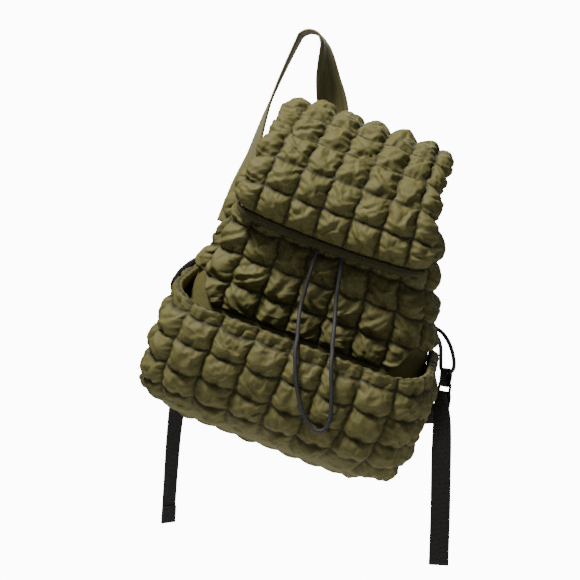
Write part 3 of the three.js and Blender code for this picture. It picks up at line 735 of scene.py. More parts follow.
@dataclass(frozen=True)
class WovenBand:
    """Narrow woven cloth, such as polypropylene webbing or a grosgrain edge: dull, with raised ribs."""

    name: str
    colour: str
    light: str
    rib_mm: float
    ribs: str = "Y"
    roughness: float = 0.75
    depth_mm: float = 0.35
    sheen: float = 0.15

    def build(self) -> bpy.types.Material:
        """Builds the material, whose ribs follow the piece's UV map."""
        material, tree, shader = new_material(self.name)
        place = add_node(tree, "ShaderNodeTexCoord")
        ribs = add_node(
            tree,
            "ShaderNodeTexWave",
            {"Vector": (place, "UV"), "Scale": wave_scale(self.rib_mm), "Distortion": 0.3},
            bands_direction=self.ribs,
        )
        warp = add_node(
            tree,
            "ShaderNodeTexWave",
            {"Vector": (place, "UV"), "Scale": wave_scale(1.7 * self.rib_mm)},
            bands_direction="X" if self.ribs == "Y" else "Y",
        )
        wear = add_node(
            tree, "ShaderNodeTexNoise", {"Vector": (place, "Object"), "Scale": 1 / (14 * MM), "Detail": 4.0}
        )
        height = add_node(tree, "ShaderNodeMath", {0: (ribs, "Fac"), 1: (warp, "Fac")}, operation="ADD")
        bump = add_node(
            tree,
            "ShaderNodeBump",
            {"Strength": 0.7, "Distance": self.depth_mm * MM, "Height": (height, "Value")},
        )
        crease = add_node(
            tree,
            "ShaderNodeBump",
            {"Strength": 0.4, "Distance": 1.0 * MM, "Height": (wear, "Fac"), "Normal": (bump, "Normal")},
        )
        mix = add_node(
            tree,
            "ShaderNodeMix",
            {"Factor_Float": (wear, "Fac"), "A_Color": linear(self.colour), "B_Color": linear(self.light)},
            data_type="RGBA",
        )
        tree.links.new(mix.outputs[2], shader.inputs["Base Color"])
        tree.links.new(crease.outputs["Normal"], shader.inputs["Normal"])
        shader.inputs["Roughness"].default_value = self.roughness
        shader.inputs["Sheen Weight"].default_value = self.sheen
        return material


@dataclass(frozen=True)
class StrapCloth:
    """Plain nylon taffeta, folded and sewn flat: a soft satin with lengthwise creases and stitches."""

    cloth: str = "#7c7849"
    # painted shade for the hollows of the creases
    painted_crease_shade: str = "#5c5932"
    roughness: float = 0.55
    weave_mm: float = 0.9

    def build(self) -> bpy.types.Material:
        """Builds the material, whose creases run along the piece's UV map, with painted shade in their hollows."""
        material, tree, shader = new_material("nylon_strap_cloth")
        place = add_node(tree, "ShaderNodeTexCoord")
        stretched = add_node(tree, "ShaderNodeMapping", {"Vector": (place, "UV"), "Scale": (1.0, 0.12, 1.0)})
        creases = add_node(
            tree,
            "ShaderNodeTexNoise",
            {"Vector": (stretched, "Vector"), "Scale": 1 / (7 * MM), "Detail": 4.0, "Distortion": 0.5},
        )
        weave = add_node(
            tree,
            "ShaderNodeTexWave",
            {"Vector": (place, "UV"), "Scale": wave_scale(self.weave_mm)},
            bands_direction="DIAGONAL",
        )
        bump = add_node(
            tree, "ShaderNodeBump", {"Strength": 0.6, "Distance": 1.2 * MM, "Height": (creases, "Fac")}
        )
        woven = add_node(
            tree,
            "ShaderNodeBump",
            {"Strength": 0.3, "Distance": 0.1 * MM, "Height": (weave, "Fac"), "Normal": (bump, "Normal")},
        )
        # Painted shade: the colour darkens in the creases' hollows, by the same noise that bumps them
        mix = add_node(
            tree,
            "ShaderNodeMix",
            {"Factor_Float": (creases, "Fac"), "A_Color": linear(self.painted_crease_shade), "B_Color": linear(self.cloth)},
            data_type="RGBA",
        )
        tree.links.new(mix.outputs[2], shader.inputs["Base Color"])
        tree.links.new(woven.outputs["Normal"], shader.inputs["Normal"])
        shader.inputs["Roughness"].default_value = self.roughness
        shader.inputs["Sheen Weight"].default_value = 0.2
        return material


@dataclass(frozen=True)
class BraidedCord:
    """Elastic shock cord in a braided polyester sheath: dark grey, with slanting strands."""

    colour: str = "#26262b"
    light: str = "#4a4a52"
    # Real strands are 0.5 mm wide: drawn at 1.3 mm, as fine as the render can show
    strand_mm: float = 1.3

    def build(self) -> bpy.types.Material:
        """Builds the material, whose strands follow the piece's UV map."""
        material, tree, shader = new_material("braided_elastic_cord")
        place = add_node(tree, "ShaderNodeTexCoord")
        heights = []
        for turn in (1.0, -1.0):
            slanted = add_node(
                tree, "ShaderNodeMapping", {"Vector": (place, "UV"), "Rotation": (0.0, 0.0, turn * math.pi / 4)}
            )
            heights.append(
                add_node(
                    tree,
                    "ShaderNodeTexWave",
                    {"Vector": (slanted, "Vector"), "Scale": wave_scale(self.strand_mm)},
                    bands_direction="X",
                )
            )
        braid = add_node(
            tree, "ShaderNodeMath", {0: (heights[0], "Fac"), 1: (heights[1], "Fac")}, operation="MULTIPLY"
        )
        bump = add_node(
            tree, "ShaderNodeBump", {"Strength": 0.8, "Distance": 0.35 * MM, "Height": (braid, "Value")}
        )
        mix = add_node(
            tree,
            "ShaderNodeMix",
            {"Factor_Float": (braid, "Value"), "A_Color": linear(self.colour), "B_Color": linear(self.light)},
            data_type="RGBA",
        )
        tree.links.new(mix.outputs[2], shader.inputs["Base Color"])
        tree.links.new(bump.outputs["Normal"], shader.inputs["Normal"])
        shader.inputs["Roughness"].default_value = 0.55
        return material


@dataclass(frozen=True)
class MouldedAcetal:
    """Acetal, injection moulded in a spark-eroded tool: black, with a fine grain and soft highlights."""

    colour: str = "#0e0e10"
    roughness: float = 0.38
    grain_mm: float = 0.5

    def build(self) -> bpy.types.Material:
        """Builds the material."""
        material, tree, shader = new_material("moulded_acetal")
        place = add_node(tree, "ShaderNodeTexCoord")
        grain = add_node(
            tree, "ShaderNodeTexNoise", {"Vector": (place, "Object"), "Scale": 1 / (self.grain_mm * MM)}
        )
        rub = add_node(
            tree, "ShaderNodeTexNoise", {"Vector": (place, "Object"), "Scale": 1 / (6 * MM), "Detail": 3.0}
        )
        worn = add_node(
            tree,
            "ShaderNodeMapRange",
            {"Value": (rub, "Fac"), "To Min": self.roughness - 0.06, "To Max": self.roughness + 0.1},
        )
        bump = add_node(
            tree, "ShaderNodeBump", {"Strength": 0.25, "Distance": 0.05 * MM, "Height": (grain, "Fac")}
        )
        tree.links.new(worn.outputs["Result"], shader.inputs["Roughness"])
        tree.links.new(bump.outputs["Normal"], shader.inputs["Normal"])
        shader.inputs["Base Color"].default_value = linear(self.colour)
        shader.inputs["IOR"].default_value = 1.48
        return material


# Dressing


class Slot(Enum):
    """The record's material slots."""

    NYLON = "quilted_nylon"
    BINDING = "edge_binding"
    STRAP = "strap_fabric"
    CORD = "elastic_cord"
    WEBBING = "webbing"
    BUCKLE = "buckle_plastic"


def dress(piece: bpy.types.Object, material: bpy.types.Material, slot: Slot, *nodes: str) -> None:
    """Gives a piece its material and body, and lets it stand for CAD nodes.

    Args:
        piece: the piece.
        material: its material.
        slot: the record's slot for the piece; not used.
        *nodes: the CAD nodes that it replaces.
    """
    piece.data.materials.clear()
    piece.data.materials.append(material)
    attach(piece, "root")
    if nodes:
        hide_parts(*nodes)
    log.info("made %s", piece.name)


# Filling the quilted cells


@dataclass
class Filling:
    """Blows up the cells of quilted pieces with a cloth simulation that holds their seams."""

    frames: int = 18
    pressure: float = 3.5
    slack: float = 0.09
    cap: float = 3.5

    def prepare(self, piece: bpy.types.Object, pinned: np.ndarray) -> None:
        """Gives a piece a cloth whose seams are held.

        Args:
            piece: the quilted piece.
            pinned: for each point, 1 where it is held and 0 where it is free.
        """
        group = piece.vertex_groups.new(name="sewn")
        flat = pinned.ravel()
        for weight in np.unique(flat):
            if weight > 0:
                group.add(np.nonzero(flat == weight)[0].tolist(), float(weight), "REPLACE")
        cloth = piece.modifiers.new("filling", "CLOTH")
        settings = cloth.settings
        settings.quality = 4
        settings.mass = 0.02
        settings.tension_stiffness = 20
        settings.compression_stiffness = 6
        settings.shear_stiffness = 4
        settings.bending_stiffness = 0.01
        settings.air_damping = 2.0
        settings.use_pressure = True
        settings.uniform_pressure_force = self.pressure
        settings.shrink_min = -self.slack
        settings.effector_weights.gravity = 0.05
        settings.vertex_group_mass = "sewn"
        cloth.collision_settings.use_collision = False
        cloth.point_cache.frame_start = 1
        cloth.point_cache.frame_end = self.frames

    def run(self, pieces: Sequence[bpy.types.Object]) -> None:
        """Runs the simulation on all the pieces at once, and keeps each shape without its cloth.

        Args:
            pieces: the pieces that were prepared.
        """
        scene = bpy.context.scene
        for number in range(1, self.frames + 1):
            scene.frame_set(number)
        depsgraph = bpy.context.evaluated_depsgraph_get()
        for piece in pieces:
            count = len(piece.data.vertices)
            before = np.empty(3 * count, dtype=np.float32)
            after = np.empty(3 * count, dtype=np.float32)
            piece.data.vertices.foreach_get("co", before)
            piece.evaluated_get(depsgraph).data.vertices.foreach_get("co", after)
            moved = (after - before).reshape(-1, 3)
            length = np.linalg.norm(moved, axis=1, keepdims=True)
            limit = self.cap * MM
            moved *= np.minimum(1.0, limit / np.maximum(length, 1e-9))
            log.info("%s moved by up to %.1f mm", piece.name, float(length.max()) / MM)
            piece.modifiers.remove(piece.modifiers["filling"])
            piece.data.vertices.foreach_set("co", (before.reshape(-1, 3) + moved).ravel())
            piece.data.update()
        scene.frame_set(1)


# The bag


BODY_SECTIONS = {
    "up": (0.0, 0.023, 0.086, 0.26, 0.4, 0.5, 0.6, 0.71, 0.83, 0.91, 0.957, 1.0),
    "half": (0.77, 0.9, 0.98, 1.0, 0.985, 0.96, 0.905, 0.85, 0.81, 0.72, 0.53, 0.58),
    "front": (0.73, 0.93, 1.0, 1.0, 1.0, 1.0, 0.98, 0.95, 0.87, 0.73, 0.5, 0.6),
    "back": (0.8, 0.93, 1.0, 1.0, 1.0, 1.0, 1.0, 1.0, 1.0, 0.97, 0.85, 0.88),
    "corner": (0.76, 0.92, 1.0, 1.0, 1.0, 1.0, 0.96, 0.92, 0.88, 0.8, 0.68, 0.72),
    "lean": (0.0, 0.01, 0.015, 0.04, 0.045, 0.035, 0.035, 0.0, -0.025, -0.03, -0.03, -0.03),
}


@dataclass
class MainCompartment:
    """The main compartment: a hollow quilted bag with a gathered mouth and a plain back panel."""

    height: float = 349.0
    half_width: float = 156.0
    front: float = 60.0
    back: float = 70.0
    corner: float = 50.0
    back_corner: float = 16.0
    wall: float = 4.0
    floor: float = 6.0
    columns: int = 13
    rows: int = 5
    quilt_from: float = 0.4
    quilt_to: float = 0.91
    steps_across: int = 16
    steps_along: int = 16
    back_steps: int = 22
    plain_rows: Row = (0.0, 0.01, 0.023, 0.05, 0.086, 0.15, 0.2, 0.26, 0.31, 0.35, 0.38)
    mouth_rows: Row = (0.925, 0.94, 0.957, 0.97, 0.985, 1.0)
    lining_rows: Row = (1.0, 0.957, 0.91, 0.83, 0.71, 0.6, 0.4, 0.26, 0.086)
    how: Quilting = Quilting(
        puff=8.5, bow=3.0, jag=2.6, gather=2.0, gather_length=10.0, droop=0.3, joined=0.2, fold=1.8
    )

    def section(self, up: np.ndarray, margin: float = 0.0) -> dict[str, np.ndarray]:
        """The compartment's section at heights.

        Args:
            up: shares of its height.
            margin: how far outside it to be, in millimetres.

        Returns:
            The section's half width, depths, corners and middle.
        """
        return {
            "half": self.half_width * between(BODY_SECTIONS, "half", up) + margin,
            "front": self.front * between(BODY_SECTIONS, "front", up) + margin,
            "back": self.back * between(BODY_SECTIONS, "back", up) + margin,
            "corner": self.corner * between(BODY_SECTIONS, "corner", up) + margin,
            "middle": self.half_width * between(BODY_SECTIONS, "lean", up),
        }

    def outline(self, up: float, margin: float, shares: np.ndarray) -> np.ndarray:
        """Points on the outline from the left back corner round the front to the right one.

        Args:
            up: the share of the height.
            margin: how far outside the compartment, in millimetres.
            shares: shares of the outline's length.

        Returns:
            Points in the bag's frame.
        """
        s = {k: float(v) for k, v in self.section(np.array(up), margin).items()}
        turn = self.back_corner + margin
        quarter = np.linspace(0, math.pi / 2, 18)
        left, right = s["middle"] - s["half"], s["middle"] + s["half"]
        arcs = [
            (left + turn, s["back"] - turn, turn, math.pi / 2),
            (left + s["corner"], s["corner"] - s["front"], s["corner"], math.pi),
            (right - s["corner"], s["corner"] - s["front"], s["corner"], 1.5 * math.pi),
            (right - turn, s["back"] - turn, turn, 0.0),
        ]
        turns = [np.stack([x + r * np.cos(a + quarter), y + r * np.sin(a + quarter)], -1) for x, y, r, a in arcs]
        path = np.vstack(turns)
        run = np.concatenate([[0.0], np.cumsum(np.linalg.norm(np.diff(path, axis=0), axis=1))])
        at = np.asarray(shares) * run[-1]
        flat = np.stack([np.interp(at, run, path[:, 0]), np.interp(at, run, path[:, 1])], -1)
        return np.column_stack([flat, np.full(len(at), up * self.height)])

    def surface(self, across: np.ndarray, along: np.ndarray, margin: float = 0.0) -> np.ndarray:
        """Points of the quilted skin for shares across and heights along."""
        return np.array([self.warped(a, u, margin) for a, u in zip(across, along)])

    def warped(self, across: np.ndarray, up: np.ndarray, margin: float) -> np.ndarray:
        """One row of the skin, whose height may differ from point to point."""
        level = float(np.mean(up))
        row = self.outline(level, margin, across)
        above = self.outline(min(1.0, level + 0.01), margin, across)
        return row + (above - row) * ((up - level) / max(1e-6, min(1.0, level + 0.01) - level))[:, None]

    def build(self) -> tuple[bpy.types.Object, np.ndarray]:
        """Builds the compartment.

        Returns:
            The piece, and for each point whether it is held in the simulation.
        """
        columns = stations(np.linspace(0, 1, self.columns + 1), self.steps_across)
        rows = stations(np.linspace(self.quilt_from, self.quilt_to, self.rows + 1), self.steps_along)
        width = len(columns.at)
        at_front = 1 - ease(np.abs(2 * columns.at - 1), 0.3, 0.55)
        rim_rise = FrontPouch.front_rim - 0.6 * FrontPouch.depth - FrontPouch.side_rim
        free_from = FrontPouch.side_rim + rim_rise * at_front
        clear = ease(rows.at[:, None] * self.height - free_from[None, :], 0.0, self.how.puff)
        hold = ease(np.minimum(rows.at - self.quilt_from, self.quilt_to - rows.at), 0.0, 0.03)
        centre = np.array([0.0, 5.0, 0.0])
        panel = quilt(
            self.surface, columns, rows, self.how, clear, lambda p: (p - centre) * np.array([1, 1, 0]), hold
        )

        def plain(up: float, margin: float = 0.0, gathers: float = 0.0) -> np.ndarray:
            row = self.outline(up, margin, columns.at)
            out = unit((row - centre) * np.array([1, 1, 0]))
            ripple = gathers * wobble(np.arange(width) * 1.25, up)
            return row + out * ripple[:, None]

        skin = [plain(up) for up in self.plain_rows]
        skin += list(panel.points)
        skin += [plain(up, gathers=2.2 * (up - self.quilt_to) / (1 - self.quilt_to)) for up in self.mouth_rows]
        ups = [*self.plain_rows, *rows.at, *self.mouth_rows]
        skin += [plain(up, -self.wall) for up in self.lining_rows]
        skin.append(plain(self.floor / self.height, -self.wall - self.floor))
        ups += [*self.lining_rows, self.floor / self.height]
        rings = []
        for row, up in zip(skin, ups):
            part = np.linspace(0, 1, self.back_steps + 1)[1:-1, None]
            back = row[-1] + (row[0] - row[-1]) * part
            outer = len(rings) < len(skin) - len(self.lining_rows) - 1
            swell = 2.6 * np.sin(math.pi * part) ** 0.6 * (1.0 if outer else 0.0)
            seam = 0.5 + 0.5 * np.cos(np.clip(up, 0, 0.93) / 0.93 * 6 * math.pi)
            back = back + Y * swell * (1 - 0.5 * seam)
            rings.append(np.vstack([row, back]))
        size = rings[0].shape[0]
        faces = loop_faces(len(rings), size)
        points = [np.array(rings).reshape(-1, 3)]
        total = len(rings) * size
        for start, ring, flip in ((0, rings[0], True), ((len(rings) - 1) * size, rings[-1], False)):
            middle = ring.mean(axis=0)
            inner = start
            for share in (0.7, 0.35):
                points.append(middle + (ring - middle) * share)
                for j in range(size):
                    k = (j + 1) % size
                    face = (inner + j, inner + k, total + k, total + j)
                    faces.append(tuple(reversed(face)) if flip else face)
                inner, total = total, total + size
            points.append(middle[None, :])
            for j in range(size):
                face = (inner + j, inner + (j + 1) % size, total)
                faces.append(tuple(reversed(face)) if flip else face)
            total += 1
        every = np.vstack(points)
        piece = new_piece("quilted_body", hung(every), faces)
        uv = np.zeros((len(every), 2))
        upright = np.full(len(every), 40.0)
        level = np.full(len(every), 40.0)
        pinned = np.ones(len(every))
        uv[: len(every)] = every[:, [0, 2]] * MM
        # Painted shade along four level lines across the plain back, where its swell dips: the material darkens them
        # as it does the seams
        channels = np.arange(4) * 0.31 * self.height
        for i, up in enumerate(ups[: -len(self.lining_rows) - 1]):
            here = i * size + width
            level[here : here + self.back_steps - 1] = np.abs(channels - up * self.height).min()
        first = len(self.plain_rows)
        for i in range(len(rows.at)):
            here = (first + i) * size
            uv[here : here + width] = panel.uv[i] + np.array([0.0, self.quilt_from * self.height * MM])
            upright[here : here + width] = panel.upright[i]
            level[here : here + width] = panel.level[i]
            pinned[here : here + width] = panel.pinned[i]
        set_uv(piece, uv)
        set_values(piece, "to_upright", upright)
        set_values(piece, "to_level", level)
        return piece, pinned


POUCH_SECTIONS = {
    "up": (0.0, 0.045, 0.14, 0.31, 0.55, 0.76, 1.0),
    "front": (0.05, 0.42, 0.74, 0.93, 1.0, 0.9, 0.78),
    "side": (0.06, 0.3, 0.6, 1.0, 1.0, 0.9, 0.2),
}


@dataclass
class FrontPouch:
    """The front pouch: a quilted wall sewn to the main compartment, with a gathered elastic hem."""

    front_rim: float = 140.0
    side_rim: float = 174.0
    depth: float = 62.0
    ease_front: float = 2.2
    ease_side: float = 4.0
    corner: float = 62.0
    wall: float = 5.0
    clearance: float = 0.3
    end_before_back: float = 24.0
    columns: int = 14
    seams: Row = (0.0, 0.07, 0.25, 0.45, 0.68, 0.9, 1.0)
    full_row: float = 24.0
    base_rise: float = 9.0
    steps_across: int = 16
    steps_along: int = 14
    how: Quilting = Quilting(
        puff=9.5, bow=4.2, jag=2.2, gather=1.6, gather_length=9.0, droop=0.3, joined=0.42, fold=0.8
    )

    def rim(self, across: np.ndarray) -> np.ndarray:
        """The rim's height at shares across."""
        return self.front_rim + (self.side_rim - self.front_rim) * ease(np.abs(2 * across - 1), 0.35, 0.95)

    def place(self, body: MainCompartment, across: float, z: float, margin: float) -> np.ndarray:
        """A point of the pouch's wall.

        Args:
            body: the main compartment that it is sewn to.
            across: the share round the pouch.
            z: the height, in millimetres.
            margin: the distance outside the main compartment where the two are sewn together.

        Returns:
            A point in the bag's frame.
        """
        up = np.array(max(z, 0.0) / body.height)
        high = np.array(z / self.side_rim)
        s = {k: float(v) for k, v in body.section(up, margin).items()}
        sewn = float(ease(np.array(min(across, 1 - across)), 0.0, 0.07))
        loose = self.ease_front + self.ease_side * float(between(POUCH_SECTIONS, "side", high))
        half = s["half"] + loose * sewn
        front = s["front"] + self.ease_front + self.depth * float(between(POUCH_SECTIONS, "front", high))
        turn = s["corner"] + (self.corner - s["corner"]) * min(1.0, max(0.0, 3 * float(high)))
        end = s["back"] - margin - self.end_before_back
        side = end - (turn - front)
        lengths = np.array([side, turn * math.pi / 2, 2 * (half - turn), turn * math.pi / 2, side])
        at = across * lengths.sum()
        left, right = s["middle"] - half, s["middle"] + half
        for k, length in enumerate(lengths):
            if at <= length or k == 4:
                break
            at -= length
        if k == 0:
            x, y = left, end - at
        elif k == 1:
            angle = math.pi + at / turn
            x, y = left + turn + turn * math.cos(angle), turn - front + turn * math.sin(angle)
        elif k == 2:
            x, y = left + turn + at, -front
        elif k == 3:
            angle = 1.5 * math.pi + at / turn
            x, y = right - turn + turn * math.cos(angle), turn - front + turn * math.sin(angle)
        else:
            x, y = right, turn - front + at
        if margin > self.clearance:
            low = 1 - float(ease(np.array(z), 90.0, 165.0))
            x += 6.0 * low * (1 - float(ease(np.array(across), 0.12, 0.4)))
            z += self.base_rise * (1 - float(ease(np.array(z), 0.0, 50.0))) * min(1.0, z / 6.0)
        return np.array([x, y, z])

    def build(self, body: MainCompartment) -> tuple[bpy.types.Object, np.ndarray]:
        """Builds the pouch.

        Args:
            body: the main compartment.

        Returns:
            The piece, and for each point whether it is held in the simulation.
        """
        columns = stations(np.linspace(0, 1, self.columns + 1), self.steps_across)
        rows = stations(self.seams, self.steps_along)

        def surface(across: np.ndarray, along: np.ndarray) -> np.ndarray:
            rims = self.rim(across)
            margin = self.clearance + self.wall
            return np.array(
                [
                    [self.place(body, float(a), float(v * r), margin) for a, v, r in zip(one, two, three)]
                    for one, two, three in zip(across, along, rims)
                ]
            )

        row_size = np.diff(np.array(self.seams))[rows.cell]
        rise = np.minimum(1.0, row_size * self.front_rim / self.full_row)
        rise = np.where(rows.cell == len(self.seams) - 2, 0.85, rise * (0.55 + 0.45 * (rows.cell > 0)))
        amount = np.repeat(rise[:, None], len(columns.at), axis=1)
        hem = rows.cell == len(self.seams) - 2
        hold = np.where(hem, 1 - ease(rows.at, 0.9, 0.93), 1.0)
        hold = hold * (0.4 + 0.6 * ease(rows.at, 0.0, 0.07))
        centre = np.array([0.0, -20.0, 0.0])
        panel = quilt(
            surface, columns, rows, self.how, amount, lambda p: (p - centre) * np.array([1, 1, 0]), hold
        )
        # The elastic hem is gathered all along
        normal = -panel.inward
        gathers = wobble(panel.uv[..., 0] / MM * 2 * math.pi / 9.5, 2.0)
        on_hem = ease(rows.at, 0.885, 0.93)[:, None]
        pucker = (1.3 * gathers - 1.5) * on_hem
        pucker = pucker * (1 - ease(rows.at, 0.985, 1.0))[:, None]
        panel.points += normal * pucker[..., None]
        panel.points[..., 2] += 1.6 * ease(rows.at, 0.95, 1.0)[:, None] * wobble(
            panel.uv[..., 0] / MM * 2 * math.pi / 13, 4.0
        )
        panel.pinned[rows.at > 0.93] = 1.0
        inner = []
        levels = np.array([1.0, 0.95, 0.88, 0.75])
        for j, across in enumerate(columns.at):
            rim = float(self.rim(np.array(across)))
            heights = [*(levels * rim), *(body.height * np.array([0.26, 0.086, 0.023, 0.0]))]
            wave = panel.points[-1, j, 2] - rim
            line = [self.place(body, float(across), float(z), self.clearance) for z in heights]
            line[0] = line[0] + np.array([0, 0, wave])
            roll = 5.5 * float(1 - ease(np.array(abs(2 * across - 1)), 0.45, 0.8))
            ruck = 1 + 0.35 * float(wobble(panel.uv[-1, j, 0] / MM * 2 * math.pi / 11, 5.0))
            line[1] = line[1] + Y * roll * ruck
            line[2] = line[2] + Y * 0.9 * roll * ruck
            inner.append(line)
        loops = [np.vstack([panel.points[:, j], line]) for j, line in enumerate(inner)]
        ends = [loops[0][:, 2], loops[-1][:, 2]]
        piece = wall("quilted_pouch", loops, ends, len(rows.at))
        return piece, store_panel(piece, panel, np.vstack(loops)[:, [0, 2]] * MM, columns_of(loops, rows))


@dataclass
class Lid:
    """The padded lid, with a bound edge."""

    front: float = 86.0
    back: float = 74.3
    top: float = 396.0
    wall: float = 4.0
    side_radius: float = 26.0
    side_arc: float = 36.0
    dip: float = 8.0
    taper: float = 0.08
    column_width: float = 38.5
    middle_columns: int = 5
    rows: int = 8
    plain_rows: int = 2
    clearance: float = 0.3
    binding: float = 5.0
    binding_reach: float = 0.68
    crest_rise: float = 14.0
    pulled_in: float = 14.0
    steps_across: int = 16
    steps_along: int = 14
    profile: tuple[Row, ...] = (
        (0.93, 0.662), (1.0, 0.735), (0.92, 0.811), (0.72, 0.879),
        (0.42, 0.929), (0.09, 0.972), (-0.26, 0.997), (-0.6, 1.0),
    )
    back_profile: tuple[Row, ...] = ((0.93, 0.973), (1.0, 0.905), (1.0, 0.813))
    how: Quilting = Quilting(
        puff=9.0, bow=3.0, jag=2.8, gather=1.8, gather_length=9.0, droop=0.36, joined=0.05, fold=1.0,
        fullness=3.0, side_gather=1.7,
    )

    def __post_init__(self) -> None:
        """Works out the lid's line from the side."""
        points = [(0.0, -self.front * f, self.top * h) for f, h in self.profile]
        points += [(0.0, self.back * b, self.top * h) for b, h in self.back_profile]
        self.line = even_curve(points, 1.0)
        self.run = np.concatenate([[0.0], np.cumsum(np.linalg.norm(np.diff(self.line, axis=0), axis=1))])
        self.length = self.run[-1]
        self.slopes = unit(np.gradient(self.line, axis=0))
        self.half_flat = self.column_width * self.middle_columns / 2

    def place(self, across: np.ndarray, along: np.ndarray, lift: float | np.ndarray = 0.0) -> np.ndarray:
        """Points of the lid.

        Args:
            across: from -1 at its left edge to 1 at its right.
            along: from 0 at its front edge to 1 where it is sewn to the back.
            lift: the distance above its outer face.

        Returns:
            Points in the bag's frame.
        """
        across, along = np.broadcast_arrays(np.asarray(across, float), np.asarray(along, float))
        flat = self.half_flat * (1 - self.taper * np.minimum(1, 1.6 * along))
        on_back = ease(along, 0.68, 0.92)
        reach = np.abs(across) * (self.half_flat + self.side_arc) - self.half_flat
        beyond = np.maximum(0, reach) * (1 - 0.6 * on_back)
        bend = np.maximum(1 - on_back, 1e-3) / self.side_radius
        angle = beyond * bend
        sideways = np.minimum(1, 1 + reach / self.half_flat) * flat + np.sin(angle) * (1 / bend + lift)
        rise = lift * np.cos(angle) - (1 - np.cos(angle)) / bend
        place = along * self.length + self.dip * (across * across - 0.3) * (1 - along) ** 6
        at = np.clip(place, 0, self.length)
        p = np.stack([np.interp(at, self.run, self.line[:, k]) for k in range(3)], -1)
        tangent = unit(np.stack([np.interp(at, self.run, self.slopes[:, k]) for k in range(3)], -1))
        out = -np.cross(tangent, X)
        p = p + tangent * np.minimum(0, place)[..., None]
        p = p + X * (np.sign(across) * sideways)[..., None] + out * rise[..., None]
        crest = ease(along, 0.2, 0.55) * (1 - ease(along, 0.78, 1.0))
        p = p + Z * (crest * (self.crest_rise - 1.0 * across))[..., None]
        pulled = self.pulled_in * ease(across, 0.5, 1.0) * ease(along, 0.1, 0.4)
        pulled = pulled * (1 - ease(along, 0.8, 1.0))
        return p - X * pulled[..., None]

    def seams(self) -> np.ndarray:
        """The seams across the lid, from -1 to 1."""
        whole = self.half_flat + self.side_arc
        middle = np.linspace(-self.half_flat, self.half_flat, self.middle_columns + 1)
        return np.array([-whole, *middle, whole]) / whole

    def build(self) -> tuple[bpy.types.Object, np.ndarray]:
        """Builds the lid.

        Returns:
            The piece, and for each point whether it is held in the simulation.
        """
        columns = stations(self.seams(), self.steps_across)
        rows = stations(np.linspace(0, 1, self.rows + 1), self.steps_along)
        plain = 1 - self.plain_rows / self.rows
        amount = np.repeat((1 - ease(rows.at, plain, plain + 0.02))[:, None], len(columns.at), axis=1)
        hold = ease(rows.at, 0.02, 0.16) * (1 - ease(rows.at, plain, plain + 0.05))
        panel = quilt(
            lambda a, v: self.place(np.clip(a, -1, 1), v),
            columns,
            rows,
            self.how,
            amount,
            lambda p: p - np.array([0.0, 20.0, 250.0]),
            hold,
        )
        under_at = np.linspace(1, 0, 17)
        loops = []
        for j, across in enumerate(columns.at):
            under = self.place(np.full(17, across), under_at, -self.wall)
            loops.append(np.vstack([panel.points[:, j], under]))
        ends = [np.concatenate([rows.at, under_at])] * 2
        piece = wall("quilted_lid", loops, ends, len(rows.at))
        return piece, store_panel(piece, panel, np.vstack(loops)[:, [0, 1]] * MM, columns_of(loops, rows))

    def bound_edge(self) -> bpy.types.Object:
        """Builds the binding round the lid's edge, from one side of its back to the other."""
        off = self.clearance + self.binding / 2
        places, outs = [], []

        def add(across: float, along: float, in_across: float, in_along: float) -> None:
            middle = self.place(np.array(across), np.array(along), -self.wall / 2)
            inner = self.place(np.array(in_across), np.array(in_along), -self.wall / 2)
            lower = 3.4 if along == 0.0 else 0.0
            places.append(middle + unit(middle - inner) * (off + lower))
            face, under = (self.place(np.array(across), np.array(along), out) for out in (1.0, 0.0))
            outs.append(face - under)

        sides = np.arange(0.03, self.binding_reach, 0.02)
        for along in sides[::-1]:
            add(-1.0, along, -0.98, along)
        for across in np.linspace(-0.97, 0.97, 90):
            add(across, 0.0, across, 0.01)
        for along in sides:
            add(1.0, along, 0.98, along)
        path = even_curve(np.array(places)[::2], 2.0)
        marks = np.array(places)
        ups = np.array([outs[int(np.argmin(np.linalg.norm(marks - p, axis=1)))] for p in path])
        count = len(path)

        def section(share: float) -> np.ndarray:
            at_front = 1 - ease(np.array(abs(2 * share - 1)), 0.3, 0.5)
            ripple = 1 + 0.05 * float(wobble(np.array(share * count * 0.55), 1.0))
            wide = (self.binding / 2 + 3.2 * float(at_front)) * ripple
            thick = self.binding / 2 * ripple
            angles = np.linspace(0, 2 * math.pi, 15)[:-1]
            return np.stack([wide * np.cos(angles) , thick * np.sin(angles)], -1)

        return tube("lid_binding", hung(path), section, hung(ups) - hung(np.zeros(3)))


# Straps and webbing


@dataclass(frozen=True)
class Station:
    """A place on a band, with the direction of its width and the share of its full width there."""

    at: np.ndarray
    wide: np.ndarray
    share: float = 1.0


def turned(start: np.ndarray, end: np.ndarray, share: float) -> np.ndarray:
    """A direction part of the way from one to another."""
    return unit(start + (end - start) * share)


def flat_run(places: Sequence[np.ndarray]) -> list[Station]:
    """Stations along a run that lies flat against the back panel."""
    last = len(places) - 1
    runs = [places[min(i + 1, last)] - places[max(i - 1, 0)] for i in range(len(places))]
    return [Station(place, unit(np.cross(run, Y))) for place, run in zip(places, runs)]


def behind_bag(x: float, gap: float, z: float) -> np.ndarray:
    """A place behind the back panel, at shares of the bag's half width and height."""
    return hung([x * 156.0, 70.0 + gap, z * 349.0])


